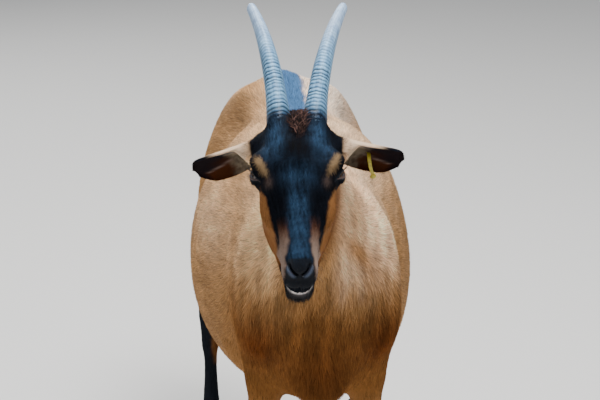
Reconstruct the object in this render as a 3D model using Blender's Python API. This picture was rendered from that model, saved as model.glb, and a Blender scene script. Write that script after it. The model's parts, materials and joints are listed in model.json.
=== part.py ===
"""A life-size standing goat: a horned, big-bellied dairy doe looking straight ahead of her.

Metres, +Z up. She faces -Y, her left side is +X, and her hooves stand on z = 0.
The flesh is lofted from a few slices for each part, joined into one smooth form, and then
parted with thin cuts into head, jaw, neck, trunk, tail, udder and legs.
"""

import math
from collections import namedtuple

import bmesh
import bpy
import numpy as np
from mathutils import Matrix, Vector

# ---------------------------------------------------------------- driving sizes
WITHERS = 0.762          # height of the back over the shoulders
ROOF = 0.20              # how much narrower the back is at its top
HEAD_PITCH = 33.0        # degrees of the face line away from straight down
HEAD_YAW = -3.6          # degrees, turned a little to her right
HEAD_ROLL = 0.8          # degrees, her left side a little higher
POLL = (-0.0495, -0.520, 0.888)   # top of the head, between the horns
FRONT_STANCE = 0.078     # from the middle to a forefoot
HIND_STANCE = 0.134      # from the middle to a hind foot
EYE_RADIUS = 0.0125
EYE = (0.0512, 0.0765, -0.0225)         # in the head's own x, s, n
HORN_LENGTH = 0.269
HORN_BASE = (0.0221, 0.036, -0.029)   # in the head's own x, s, n
HORN_LEAN = math.radians(1.6)          # both horns lean to her left
EAR_LENGTH = 0.122
EAR_WALL = 0.0050
EAR_LOW = 0.0030          # how far the middle of the blade hangs below the ear's own line
EAR_ROOT = (0.044, 0.027, -0.052)     # in the head's own x, s, n
EAR_DROOP = {1: 22.8, -1: 31.0}       # degrees below level, her left and her right
EAR_BACK = {1: 0.36, -1: 0.40}        # how far they point to the rear
EAR_TURN = math.radians(30.0)         # how far the opening looks down
CORONET = 0.0350                      # height of the top of the hooves
CORONET_SLOPE = 0.30
CUT = 0.0004             # width of the cuts between the parts
FORM_VOXEL = 0.0048
FLAT = math.radians(1.5)  # faces this close to one plane are taken as one
FLESH_TRIANGLES = 4300
SIDES = (("left", 1), ("right", -1))

# A slice of a body part: its middle, half its width, and how far it reaches to the upper
# or front side and to the lower or rear side.
Slice = namedtuple("Slice", "x y z half above below")

# ---------------------------------------------------------------- materials
COLOURS = {
    "coat_tan": ((0.42, 0.24, 0.13), 0.75),
    "coat_dark": ((0.03, 0.035, 0.045), 0.65),
    "skin_pink": ((0.45, 0.28, 0.22), 0.60),
    "horn": ((0.42, 0.47, 0.50), 0.45),
    "hoof": ((0.07, 0.06, 0.055), 0.50),
    "eye": ((0.22, 0.13, 0.04), 0.08),
    "tag_yellow": ((0.62, 0.52, 0.07), 0.40),
}


def material(name):
    """The Principled material of one finish, made once."""
    found = bpy.data.materials.get(name)
    if found:
        return found
    colour, roughness = COLOURS[name]
    made = bpy.data.materials.new(name)
    made.use_nodes = True
    shader = made.node_tree.nodes["Principled BSDF"]
    shader.inputs["Base Color"].default_value = (*colour, 1)
    shader.inputs["Roughness"].default_value = roughness
    return made


# ---------------------------------------------------------------- mesh helpers
def clear_scene():
    for obj in list(bpy.data.objects):
        bpy.data.objects.remove(obj)


def add_object(name, verts, faces, finish=None):
    mesh = bpy.data.meshes.new(name)
    mesh.from_pydata([tuple(v) for v in verts], [], faces)
    mesh.validate()
    obj = bpy.data.objects.new(name, mesh)
    bpy.context.scene.collection.objects.link(obj)
    if finish:
        mesh.materials.append(material(finish))
        mesh.shade_smooth()
    return obj


def through(rows, steps):
    """Rows of numbers, and steps - 1 more between each two, on a smooth curve through them."""
    rows = np.array(rows, float)
    ends = np.vstack([2 * rows[0] - rows[1], rows, 2 * rows[-1] - rows[-2]])
    found = []
    for i in range(1, len(ends) - 2):
        before, start, end, after = ends[i - 1:i + 3]
        for t in np.arange(steps) / steps:
            found.append(0.5 * (
                2 * start + (end - before) * t
                + (2 * before - 5 * start + 4 * end - after) * t**2
                + (3 * start - before - 3 * end + after) * t**3))
    return np.array(found + [rows[-1]])


def ring(middle, right, up, half, above, below, power, count):
    """An egg-shaped closed ring. A power over 2 makes it squarer, and under 2 more pointed."""
    points = []
    for turn in np.arange(count) / count * 2 * math.pi:
        c, s = math.cos(turn), math.sin(turn)
        across = half * math.copysign(abs(c) ** (2 / power), c)
        reach = above if s > 0 else below
        points.append(middle + right * across + up * reach * math.copysign(abs(s) ** (2 / power), s))
    return points


def skin_over(rings, looped=False):
    """Faces of a tube through rings of equal counts, with both ends filled or joined."""
    count, faces = len(rings[0]), []
    for i in range(len(rings) - (0 if looped else 1)):
        for j in range(count):
            k = (j + 1) % count
            a, b = i * count, (i + 1) % len(rings) * count
            faces.append((a + j, a + k, b + k, b + j))
    if looped:
        return faces
    faces.append(tuple(reversed(range(count))))
    last = (len(rings) - 1) * count
    faces.append(tuple(last + j for j in range(count)))
    return faces


def facing_out(obj):
    """Turns the faces outwards, which a mirrored or reversed loft needs."""
    bm = bmesh.new()
    bm.from_mesh(obj.data)
    bmesh.ops.recalc_face_normals(bm, faces=bm.faces)
    bm.to_mesh(obj.data)
    bm.free()
    return obj


def loft(name, slices, power=2.0, count=28, steps=4, frame=None, upward=1):
    """A body part over its slices. They run from rump to chest, from chest to head or down a
    leg, so that the side called above is the upper or the front one; upward is -1 for parts
    that run the other way. frame is the matrix from the part's own axes."""
    rows = through(slices, steps)
    along = np.gradient(rows[:, 1:3], axis=0)
    along /= np.linalg.norm(along, axis=1)[:, None]
    rings = []
    for row, (dy, dz) in zip(rows, along):
        cut = Slice(*row)
        sizes = [max(v, 0.001) for v in (cut.half, cut.above, cut.below)]
        rings.append(ring(Vector((cut.x, cut.y, cut.z)), Vector((1, 0, 0)),
                          Vector((0, dz, -dy)) * upward, *sizes, power, count))
    points = [p for each in rings for p in each]
    if frame:
        points = [frame @ p for p in points]
    return facing_out(add_object(name, points, skin_over(rings)))


def ellipsoid(name, middle, radii, frame=None, finish=None, rings=10, segments=16):
    bm = bmesh.new()
    bmesh.ops.create_uvsphere(bm, u_segments=segments, v_segments=rings, radius=1)
    place = Matrix.Translation(middle) @ Matrix.Diagonal((*radii, 1))
    bmesh.ops.transform(bm, matrix=(frame @ place) if frame else place, verts=bm.verts)
    mesh = bpy.data.meshes.new(name)
    bm.to_mesh(mesh)
    bm.free()
    obj = bpy.data.objects.new(name, mesh)
    bpy.context.scene.collection.objects.link(obj)
    if finish:
        mesh.materials.append(material(finish))
        mesh.shade_smooth()
    return facing_out(obj)


def block(name, low, high, frame=None, lift=(0, 0), grow=0.0):
    """A box from low to high. lift raises its top at the low-y and the high-y edge."""
    low, high = Vector(low) - Vector((grow,) * 3), Vector(high) + Vector((grow,) * 3)
    points = []
    for z in (0, 1):
        for y in (0, 1):
            for x in (0, 1):
                corner = Vector((high.x if x else low.x, high.y if y else low.y,
                                 high.z + lift[y] if z else low.z))
                points.append(frame @ corner if frame else corner)
    faces = [(0, 2, 3, 1), (4, 5, 7, 6), (0, 1, 5, 4), (2, 6, 7, 3), (0, 4, 6, 2), (1, 3, 7, 5)]
    return facing_out(add_object(name, points, faces))


def applied(obj):
    """Replaces an object's mesh by what its modifiers make of it."""
    graph = bpy.context.evaluated_depsgraph_get()
    mesh = bpy.data.meshes.new_from_object(obj.evaluated_get(graph), depsgraph=graph)
    obj.modifiers.clear()
    obj.data = mesh
    return obj


def boolean(obj, other, operation):
    step = obj.modifiers.new(operation.lower(), "BOOLEAN")
    step.operation, step.solver, step.object = operation, "EXACT", other
    return applied(obj)


def remove(*objects):
    for obj in objects:
        bpy.data.objects.remove(obj)


def copy_of(obj, name, finish=None):
    made = obj.copy()
    made.data = obj.data.copy()
    made.name = name
    bpy.context.scene.collection.objects.link(made)
    if finish:
        made.data.materials.clear()
        made.data.materials.append(material(finish))
    return made


def joined_form(parts):
    """All these closed shapes as one smooth skin, thinned to the triangles it needs."""
    first = parts[0]
    with bpy.context.temp_override(active_object=first, selected_editable_objects=parts):
        bpy.ops.object.join()
    first.name = "form"
    remesh = first.modifiers.new("one_skin", "REMESH")
    remesh.mode, remesh.voxel_size = "VOXEL", FORM_VOXEL
    applied(first)
    slope_back(first)
    soften(first, (0.5,) * 60, on_trunk)
    soften(first, (0.60, -0.62) * 9)
    thin = first.modifiers.new("thin", "DECIMATE")
    thin.ratio = FLESH_TRIANGLES / (2 * len(first.data.polygons))
    return applied(first)


def ramp(low, high, value):
    return min(max((value - low) / (high - low), 0), 1)


def slope_back(obj):
    """Narrows the body towards its spine, so that the back is a roof and not a table."""
    for v in obj.data.vertices:
        share = ramp(0.635, 0.735, v.co.z) * ramp(-0.34, -0.24, v.co.y) * ramp(0.24, 0.15, v.co.y)
        v.co.x *= 1 - ROOF * share


def on_trunk(points):
    """1 over the barrel, the shoulders and the base of the neck, fading to 0 at the rest."""
    y, z = points[:, 1], points[:, 2]
    fades = ((z - 0.410) / 0.05, (y + 0.450) / 0.06, (0.460 - y) / 0.04)
    return np.prod([np.clip(f, 0, 1) for f in fades], axis=0)[:, None]


def soften(obj, factors, where=None):
    """Rounds the joints between the shapes. A step in and a step out by turns keeps its size."""
    mesh = obj.data
    points = np.empty(3 * len(mesh.vertices))
    mesh.vertices.foreach_get("co", points)
    points = points.reshape(-1, 3)
    ends = np.empty(2 * len(mesh.edges), int)
    mesh.edges.foreach_get("vertices", ends)
    a, b = ends.reshape(-1, 2).T
    total = len(points)
    share = (where(points) if where else 1) / np.bincount(ends, minlength=total)[:, None]
    count = np.bincount(ends, minlength=total)[:, None]
    for factor in factors:
        around = np.stack([np.bincount(a, points[b, k], total) + np.bincount(b, points[a, k], total)
                           for k in range(3)], axis=1)
        points += factor * share * (around - count * points)
    mesh.vertices.foreach_set("co", points.ravel())
    mesh.update()


def grown(obj, by, name):
    """A copy whose surface stands off by that much."""
    made = copy_of(obj, name)
    normals = [v.normal.copy() for v in made.data.vertices]
    for v, n in zip(made.data.vertices, normals):
        v.co += n * by
    return made


def largest_piece(obj):
    """Drops the slivers a cut can leave beside the piece itself."""
    bm = bmesh.new()
    bm.from_mesh(obj.data)
    left, pieces = set(bm.verts), []
    while left:
        piece, edge = set(), [next(iter(left))]
        while edge:
            v = edge.pop()
            if v not in piece:
                piece.add(v)
                edge.extend(e.other_vert(v) for e in v.link_edges)
        left -= piece
        pieces.append(piece)
    keep = max(pieces, key=len)
    bmesh.ops.delete(bm, geom=[v for v in bm.verts if v not in keep], context="VERTS")
    bmesh.ops.dissolve_limit(bm, angle_limit=FLAT, verts=bm.verts, edges=bm.edges)
    bmesh.ops.triangulate(bm, faces=bm.faces)
    bmesh.ops.dissolve_degenerate(bm, dist=0.00002, edges=bm.edges)
    bm.to_mesh(obj.data)
    bm.free()
    return obj


def part_off(form, make_cutter, name, finish):
    """Moves what lies inside a cutter from the form into its own node, with a thin gap."""
    node, cutter = copy_of(form, name, finish), make_cutter(-CUT / 2)
    boolean(node, cutter, "INTERSECT")
    wider = make_cutter(CUT / 2)
    boolean(form, wider, "DIFFERENCE")
    remove(cutter, wider)
    node.data.shade_smooth()
    return largest_piece(node)


# ---------------------------------------------------------------- where the head is
def head_frame():
    """From the head's own axes to the world: x to her left, s from the poll down the face
    to the nose, n out of the forehead."""
    pitch = math.radians(HEAD_PITCH)
    own = Matrix(((1, 0, 0), (0, -math.sin(pitch), -math.cos(pitch)),
                  (0, -math.cos(pitch), math.sin(pitch)))).to_4x4()
    turn = Matrix.Rotation(math.radians(HEAD_YAW), 4, "Z")
    roll = Matrix.Rotation(math.radians(HEAD_ROLL), 4, own.col[2].to_3d())
    return Matrix.Translation(POLL) @ turn @ roll @ own


HEAD = head_frame()


def on_head(x, s, n):
    return HEAD @ Vector((x, s, n))


# ---------------------------------------------------------------- flesh
def trunk():
    """Barrel from the buttocks to the breast, widest low down and behind the ribs."""
    return loft("trunk_form", [
        Slice(0.000, 0.446, 0.636, 0.018, 0.024, 0.030),
        Slice(0.000, 0.424, 0.628, 0.055, 0.066, 0.085),
        Slice(-0.001, 0.372, 0.612, 0.087, 0.117, 0.130),
        Slice(-0.001, 0.295, 0.585, 0.110, 0.176, 0.165),
        Slice(0.001, 0.205, 0.530, 0.152, 0.226, 0.200),
        Slice(0, 0.105, 0.496, 0.180, 0.247, 0.198),
        Slice(0, 0.000, 0.491, 0.180, 0.244, 0.195),
        Slice(0, -0.110, 0.515, 0.164, 0.232, 0.190),
        Slice(0, -0.210, 0.558, 0.136, WITHERS - 0.558, 0.195),
        Slice(0, -0.300, 0.575, 0.110, 0.168, 0.190),
        Slice(0, -0.360, 0.568, 0.085, 0.125, 0.165),
        Slice(0, -0.402, 0.550, 0.044, 0.064, 0.095),
    ], power=2.05, count=36)


def neck():
    """From the shoulders up to the back of the head, bending a little to her right."""
    return loft("neck_form", [
        Slice(0, -0.200, 0.605, 0.092, 0.140, 0.150),
        Slice(-0.002, -0.290, 0.648, 0.086, 0.112, 0.148),
        Slice(-0.010, -0.362, 0.698, 0.074, 0.092, 0.118),
        Slice(-0.028, -0.427, 0.750, 0.062, 0.074, 0.090),
        Slice(-0.042, -0.482, 0.798, 0.052, 0.058, 0.068),
        Slice(-0.050, -0.522, 0.836, 0.044, 0.042, 0.050),
    ], power=2.0, count=28)


def skull():
    """Forehead, bridge of the nose and upper lip, in the head's own x, s, n."""
    face = loft("skull_form", [
        Slice(0, -0.012, -0.036, 0.024, 0.020, 0.028),
        Slice(0, 0.002, -0.038, 0.038, 0.036, 0.045),
        Slice(0, 0.030, -0.040, 0.049, 0.047, 0.052),
        Slice(0, 0.065, -0.040, 0.056, 0.052, 0.055),
        Slice(0, 0.095, -0.042, 0.052, 0.051, 0.052),
        Slice(0, 0.125, -0.043, 0.041, 0.046, 0.044),
        Slice(0, 0.155, -0.042, 0.032, 0.041, 0.034),
        Slice(0, 0.180, -0.041, 0.0277, 0.037, 0.027),
        Slice(0, 0.200, -0.041, 0.0265, 0.033, 0.022),
        Slice(0, 0.216, -0.042, 0.0242, 0.026, 0.019),
        Slice(0, 0.227, -0.044, 0.0165, 0.015, 0.013),
    ], power=2.35, count=28, frame=HEAD, upward=-1)
    jaw = loft("jaw_form", [
        Slice(0, 0.050, -0.080, 0.030, 0.030, 0.018),
        Slice(0, 0.083, -0.076, 0.052, 0.040, 0.034),
        Slice(0, 0.113, -0.072, 0.0520, 0.040, 0.037),
        Slice(0, 0.142, -0.069, 0.0480, 0.036, 0.033),
        Slice(0, 0.168, -0.068, 0.0420, 0.030, 0.028),
        Slice(0, 0.188, -0.069, 0.0330, 0.023, 0.021),
        Slice(0, 0.206, -0.070, 0.0235, 0.015, 0.016),
        Slice(0, 0.224, -0.071, 0.0205, 0.012, 0.014),
        Slice(0, 0.236, -0.0715, 0.0145, 0.008, 0.010),
    ], power=2.2, count=24, frame=HEAD, upward=-1)
    shapes = [face, jaw]
    for _, side in SIDES:
        shapes.append(ellipsoid("brow", (side * 0.0500, 0.069, -0.015), (0.0185, 0.028, 0.019), HEAD))
        shapes.append(ellipsoid("cheekbone", (side * 0.0420, 0.108, -0.038), (0.012, 0.042, 0.018), HEAD))
        shapes.append(ellipsoid("nostril_wing", (side * 0.0150, 0.206, -0.024), (0.0118, 0.016, 0.012), HEAD))
        shapes.append(ellipsoid("ear_root", (side * 0.0445, 0.030, -0.052), (0.022, 0.027, 0.024), HEAD))
        shapes.append(horn_root(side))
    return shapes


def horn_root(side):
    """The haired foot of a horn: a sleeve of the skull round its lowest part."""
    rings = []
    line = frames_along(horn_line(side, 61)[:11], HEAD.to_3x3() @ Vector((0, 0, 1)))
    for i, (point, right, up) in enumerate(line):
        wall = 0.0100 - 0.0076 * math.sin(math.pi / 2 * i / 10)
        rings.append(ring(point, right, up, 0.0160 + wall, 0.0215 + wall, 0.0195 + wall, 2.0, 18))
    return tube("horn_root", rings, None)


def foreleg(side):
    """Shoulder blade, upper arm, forearm, knee, cannon and pastern in one run down."""
    x = side * FRONT_STANCE
    return loft("foreleg_form", [
        Slice(side * 0.052, -0.205, 0.725, 0.026, 0.040, 0.045),
        Slice(side * 0.080, -0.255, 0.650, 0.036, 0.070, 0.075),
        Slice(side * 0.090, -0.300, 0.570, 0.040, 0.075, 0.085),
        Slice(side * 0.088, -0.292, 0.500, 0.038, 0.062, 0.080),
        Slice(side * 0.083, -0.262, 0.440, 0.032, 0.044, 0.052),
        Slice(x, -0.252, 0.375, 0.0265, 0.034, 0.034),
        Slice(x, -0.254, 0.310, 0.0215, 0.024, 0.024),
        Slice(x, -0.258, 0.268, 0.0225, 0.025, 0.023),
        Slice(x, -0.254, 0.228, 0.0180, 0.018, 0.020),
        Slice(x, -0.252, 0.165, 0.0150, 0.0155, 0.0175),
        Slice(x, -0.252, 0.112, 0.0185, 0.019, 0.022),
        Slice(x, -0.262, 0.080, 0.0190, 0.019, 0.020),
        Slice(x, -0.276, 0.048, 0.0215, 0.021, 0.022),
        Slice(x, -0.286, 0.020, 0.0215, 0.020, 0.024),
    ], power=2.1, count=22)


def hind_leg(side):
    """Thigh, shank, hock, cannon and pastern in one run down."""
    x = side * HIND_STANCE
    return loft("hind_leg_form", [
        Slice(side * 0.0615, 0.285, 0.712, 0.033, 0.060, 0.060),
        Slice(side * 0.082 - 0.001, 0.296, 0.640, 0.049, 0.098, 0.098),
        Slice(side * 0.103 - 0.001, 0.292, 0.560, 0.052, 0.108, 0.115),
        Slice(side * 0.117, 0.286, 0.485, 0.045, 0.088, 0.106),
        Slice(side * 0.124, 0.310, 0.415, 0.035, 0.056, 0.068),
        Slice(side * 0.130, 0.360, 0.350, 0.0255, 0.036, 0.036),
        Slice(x, 0.397, 0.302, 0.0220, 0.028, 0.029),
        Slice(x, 0.407, 0.262, 0.0205, 0.024, 0.026),
        Slice(x, 0.401, 0.215, 0.0175, 0.0180, 0.0200),
        Slice(x, 0.392, 0.160, 0.0165, 0.0170, 0.0185),
        Slice(x, 0.384, 0.112, 0.0195, 0.020, 0.023),
        Slice(x, 0.372, 0.080, 0.0200, 0.020, 0.021),
        Slice(x, 0.358, 0.048, 0.0220, 0.022, 0.023),
        Slice(x, 0.348, 0.020, 0.0220, 0.021, 0.024),
    ], power=2.1, count=22)


def tail():
    return loft("tail_form", [
        Slice(0, 0.372, 0.698, 0.028, 0.022, 0.022),
        Slice(0, 0.424, 0.690, 0.025, 0.018, 0.018),
        Slice(0, 0.462, 0.664, 0.023, 0.013, 0.014),
        Slice(0, 0.480, 0.626, 0.021, 0.010, 0.011),
        Slice(0, 0.487, 0.592, 0.013, 0.006, 0.007),
        Slice(0, 0.489, 0.578, 0.004, 0.003, 0.003),
    ], power=2.0, count=18, upward=-1)


def udder():
    shapes = [ellipsoid("bag", (0, 0.288, 0.405), (0.064, 0.074, 0.078))]
    for _, side in SIDES:
        shapes.append(loft("teat_form", [
            Slice(side * 0.032, 0.272, 0.390, 0.020, 0.020, 0.020),
            Slice(side * 0.036, 0.266, 0.340, 0.015, 0.015, 0.015),
            Slice(side * 0.039, 0.262, 0.308, 0.010, 0.010, 0.010),
            Slice(side * 0.040, 0.260, 0.292, 0.006, 0.006, 0.006),
        ], count=14))
    return shapes


def muscles():
    """The masses that show through the coat beside the lofted parts."""
    shapes = [ellipsoid("brisket", (0, -0.310, 0.452), (0.056, 0.080, 0.068)),
              ellipsoid("withers", (0, -0.215, 0.712), (0.042, 0.090, 0.050)),
              ellipsoid("croup", (-0.010, 0.290, 0.702), (0.036, 0.095, 0.056))]
    for _, side in SIDES:
        shapes.append(ellipsoid("shoulder_point", (side * 0.080, -0.338, 0.535), (0.042, 0.050, 0.074)))
        shapes.append(ellipsoid("hip_bone", (side * 0.0625 - 0.0015, 0.245, 0.706), (0.036, 0.064, 0.037)))
        shapes.append(ellipsoid("buttock", (side * 0.058, 0.380, 0.596), (0.052, 0.058, 0.098)))
        shapes.append(ellipsoid("rib_spring", (0.006 + side * 0.067, 0.030, 0.588), (0.090, 0.235, 0.136)))
    return shapes


# ---------------------------------------------------------------- horns, ears, eyes, feet
def frames_along(line, first_up, looped=False):
    """(point, right, up) at each point of a line, carrying the first up along it."""
    line = [Vector(p) for p in line]
    found, up, last = [], Vector(first_up), len(line) - 1
    for i, point in enumerate(line):
        after = line[(i + 1) % len(line) if looped else min(i + 1, last)]
        before = line[i - 1 if looped else max(i - 1, 0)]
        ahead = (after - before).normalized()
        up = (up - ahead * up.dot(ahead)).normalized()
        found.append((point, ahead.cross(up), up))
    return found


def tube(name, rings, finish, looped=False):
    points = [p for each in rings for p in each]
    return facing_out(add_object(name, points, skin_over(rings, looped), finish))


def horn_line(side, count):
    """Middle line of a horn: up past the poll, then sweeping back and a little out."""
    point = Vector((side * HORN_BASE[0], HORN_BASE[1], HORN_BASE[2]))
    points = []
    for i in range(count):
        points.append(HEAD @ point)
        t = i / (count - 1)
        back, out = math.radians(4.3 + 34.3 * t), math.radians(2.3 + 15 * t) + side * HORN_LEAN
        ahead = Vector((side * math.sin(out), -math.cos(back) * math.cos(out),
                        -math.sin(back) * math.cos(out)))
        point = point + ahead * (HORN_LENGTH / (count - 1))
    return points


def horn(name, side):
    """Deeper than wide with a keel in front, tapering to a blunt tip."""
    line, rings = horn_line(side, 12), []
    for i, (point, right, up) in enumerate(frames_along(line, HEAD.to_3x3() @ Vector((0, 0, 1)))):
        t = i / (len(line) - 1)
        size = (1 - 0.30 * t - 0.30 * t * t) * (0.45 if t == 1 else 1)
        rings.append(ring(point, right, up, 0.0160 * size, 0.0215 * size, 0.0195 * size, 1.85, 10))
    return tube(name, rings, "horn")


def ear_frame(side):
    """Origin at the ear's root; x runs out along the ear, z out of its opening."""
    droop = math.radians(EAR_DROOP[side])
    out = Vector((side * math.cos(droop), EAR_BACK[side], -math.sin(droop))).normalized()
    opening = Vector((0, -math.cos(EAR_TURN), -math.sin(EAR_TURN)))
    opening = (opening - out * opening.dot(out)).normalized()
    place = Matrix((out, opening.cross(out), opening)).transposed().to_4x4()
    turn = Matrix.Rotation(math.radians(HEAD_YAW), 4, "Z")
    return Matrix.Translation(on_head(side * EAR_ROOT[0], EAR_ROOT[1], EAR_ROOT[2])) @ turn @ place


def ear(name, side):
    """A scoop: a solid root that opens into a cupped blade with a rounded tip."""
    frame, rings = ear_frame(side), []
    rows = through([(0.00, 0.0205, 0.0185), (0.20, 0.0215, 0.0190), (0.42, 0.0242, 0.0190),
                    (0.66, 0.0264, 0.0158), (0.87, 0.0242, 0.0110), (1.00, 0.0070, 0.0060)], 2)
    for at, half, depth in rows:
        hollow = min(max((at - 0.20) / 0.24, 0), 1)
        inner_depth = max(depth - EAR_WALL, 0.0004) * hollow - (1 - hollow) * half * 0.75
        inner_half = half - EAR_WALL * 0.30
        bend = -0.010 * at * at
        low = side * EAR_LOW * math.sin(math.pi * min(at / 0.92, 1))
        outer = [(half * math.cos(a), -depth * math.sin(a)) for a in np.linspace(0, math.pi, 9)]
        inner = [(inner_half * math.cos(a), -inner_depth * math.sin(a) + EAR_WALL * 0.12)
                 for a in np.linspace(math.pi, 0, 7)]
        rings.append([frame @ Vector((at * EAR_LENGTH, across - low, up + bend))
                      for across, up in outer + inner])
    return tube(name, rings, "coat_tan")


def ear_tag():
    """A thin loop tag through the middle of her left ear, round its lower edge."""
    frame = ear_frame(1)
    loop = [(0.0705, -0.0050, -0.0165), (0.0720, -0.0080, -0.0085), (0.0810, -0.0200, -0.0035),
            (0.0940, -0.0340, -0.0035), (0.1005, -0.0415, -0.0115), (0.0950, -0.0360, -0.0195),
            (0.0820, -0.0215, -0.0240), (0.0725, -0.0095, -0.0245)]
    rings = []
    for point, right, _ in frames_along(loop, (1, 0, 0), looped=True):
        rings.append([frame @ p for p in
                      ring(point, Vector((1, 0, 0)), right, 0.0032, 0.0008, 0.0008, 3.0, 8)])
    return tube("ear_tag", rings, "tag_yellow", looped=True)


def coronet(y, foot_y):
    """Height of the top of the hoof, high in front and low at the heel."""
    return CORONET - CORONET_SLOPE * (y - foot_y)


def claw(name, x, y, side):
    """One half of a cloven hoof on its flat sole. side is the way out from the cleft."""
    rings = []
    for t in (0, 0.5, 1):
        length, width = 0.0330 - 0.0075 * t, 0.0114 - 0.0010 * t
        middle = Vector((x + side * 0.0114, y - 0.004 + 0.016 * t, 0))
        points = []
        for turn in np.arange(12) / 12 * 2 * math.pi:
            c, s = math.cos(turn), math.sin(turn)
            across = width * math.copysign(abs(c) ** 0.72, c) * (0.78 if c * side < 0 else 1)
            reach = length * math.copysign(abs(s) ** 0.9, s) * (0.80 if s > 0 else 1)
            point = middle + Vector((across + 0.08 * side * max(-reach, 0), reach, 0))
            point.z = t * (coronet(point.y, y) - CUT / 2)
            points.append(point)
        rings.append(points)
    return tube(name, rings, "hoof")


def dewclaw(name, x, y, z, side):
    """A small blunt horn cone behind the fetlock. side is the way out from the foot's middle."""
    line = [(x, y, z), (x + side * 0.0013, y + 0.011, z - 0.006), (x + side * 0.002, y + 0.0165, z - 0.0145)]
    rings = []
    for (point, right, up), size in zip(frames_along(line, (0, 0, 1)), (0.0062, 0.0064, 0.0036)):
        rings.append(ring(point, right, up, size, size, size * 0.8, 2.0, 7))
    return tube(name, rings, "hoof")


# ---------------------------------------------------------------- cutters between the parts
def behind_jaw(grow):
    """Everything in front of a plane from behind the jaw to behind the poll."""
    frame = (Matrix.Translation((-0.040, -0.461, 0.742)) @ Matrix.Rotation(math.radians(-9), 4, "Z")
             @ Matrix.Rotation(math.radians(62), 4, "X"))
    return block("cut_head", (-0.4, -0.4, 0), (0.4, 0.6, 0.6), frame, grow=grow)


def under_mouth(grow):
    """Below the line of the lips and in front of the cheeks, in the head's own axes."""
    return block("cut_jaw", (-0.08, 0.150, -0.20), (0.08, 0.32, -0.0600), HEAD, (0.0035, -0.0025), grow)


def neck_base(grow):
    """Everything in front of a plane from the breast up to the withers."""
    frame = Matrix.Translation((0, -0.385, 0.640)) @ Matrix.Rotation(math.radians(50), 4, "X")
    return block("cut_neck", (-0.4, -0.05, 0), (0.4, 0.5, 0.5), frame, grow=grow)


def tail_root(grow):
    return block("cut_tail", (-0.06, 0.4525, 0.50), (0.06, 0.62, 0.80), grow=grow)


def under_belly(grow):
    return block("cut_udder", (-0.0700, 0.212, 0.20), (0.0700, 0.380, 0.348), grow=grow,
                 lift=(0, 0.105))


def side_box(name, low, high, side, grow, lift=(0, 0)):
    mirror = Matrix.Diagonal((side, 1, 1, 1))
    return block(name, low, high, mirror, lift, grow)


def fore_cut(side):
    """From the elbow down."""
    return lambda grow: side_box("cut_fore", (0.048, -0.40, -0.1), (0.30, -0.190, 0.448), side, grow,
                                 lift=(0, -0.02))


def hind_cut(side):
    """From the fold of the flank down."""
    return lambda grow: side_box("cut_hind", (0.0706, 0.212, -0.1), (0.35, 0.62, 0.418), side, grow,
                                 lift=(0, 0.15))


def low_cut(side, y, top):
    """The leg below its knee or its hock."""
    return lambda grow: side_box("cut_low", (0.0, y - 0.13, -0.1), (0.35, y + 0.13, top), side, grow)


# ---------------------------------------------------------------- the whole animal
FEET = (("front", FRONT_STANCE, -0.286, -0.248, 0.094), ("hind", HIND_STANCE, 0.348, 0.388, 0.094))


def horned_parts():
    """Everything that is not flesh: horns, eyes, hooves and the tag."""
    made = {"ear_tag": ear_tag()}
    for word, side in SIDES:
        made["horn_" + word] = horn("horn_" + word, side)
        place = Vector((side * EYE[0], EYE[1], EYE[2]))
        made["eye_" + word] = ellipsoid("eye_" + word, place, (EYE_RADIUS,) * 3, HEAD, "eye", 7, 10)
        for end, stance, y, dew_y, dew_z in FEET:
            for place, out in (("outer", 1), ("inner", -1)):
                name = "{}_{}_{}_{}".format("{}", end, word, place)
                made[name.format("claw")] = claw(name.format("claw"), side * stance, y, side * out)
                made[name.format("dewclaw")] = dewclaw(
                    name.format("dewclaw"), side * (stance + out * 0.0105), dew_y, dew_z, side * out)
    return made


def carve_mouth(form):
    """The lips a little apart in front."""
    gap = block("mouth", (-0.08, 0.196, -0.0660), (0.08, 0.30, -0.0622), HEAD, (-0.0025, 0.0010))
    boolean(form, gap, "DIFFERENCE")
    remove(gap)


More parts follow.
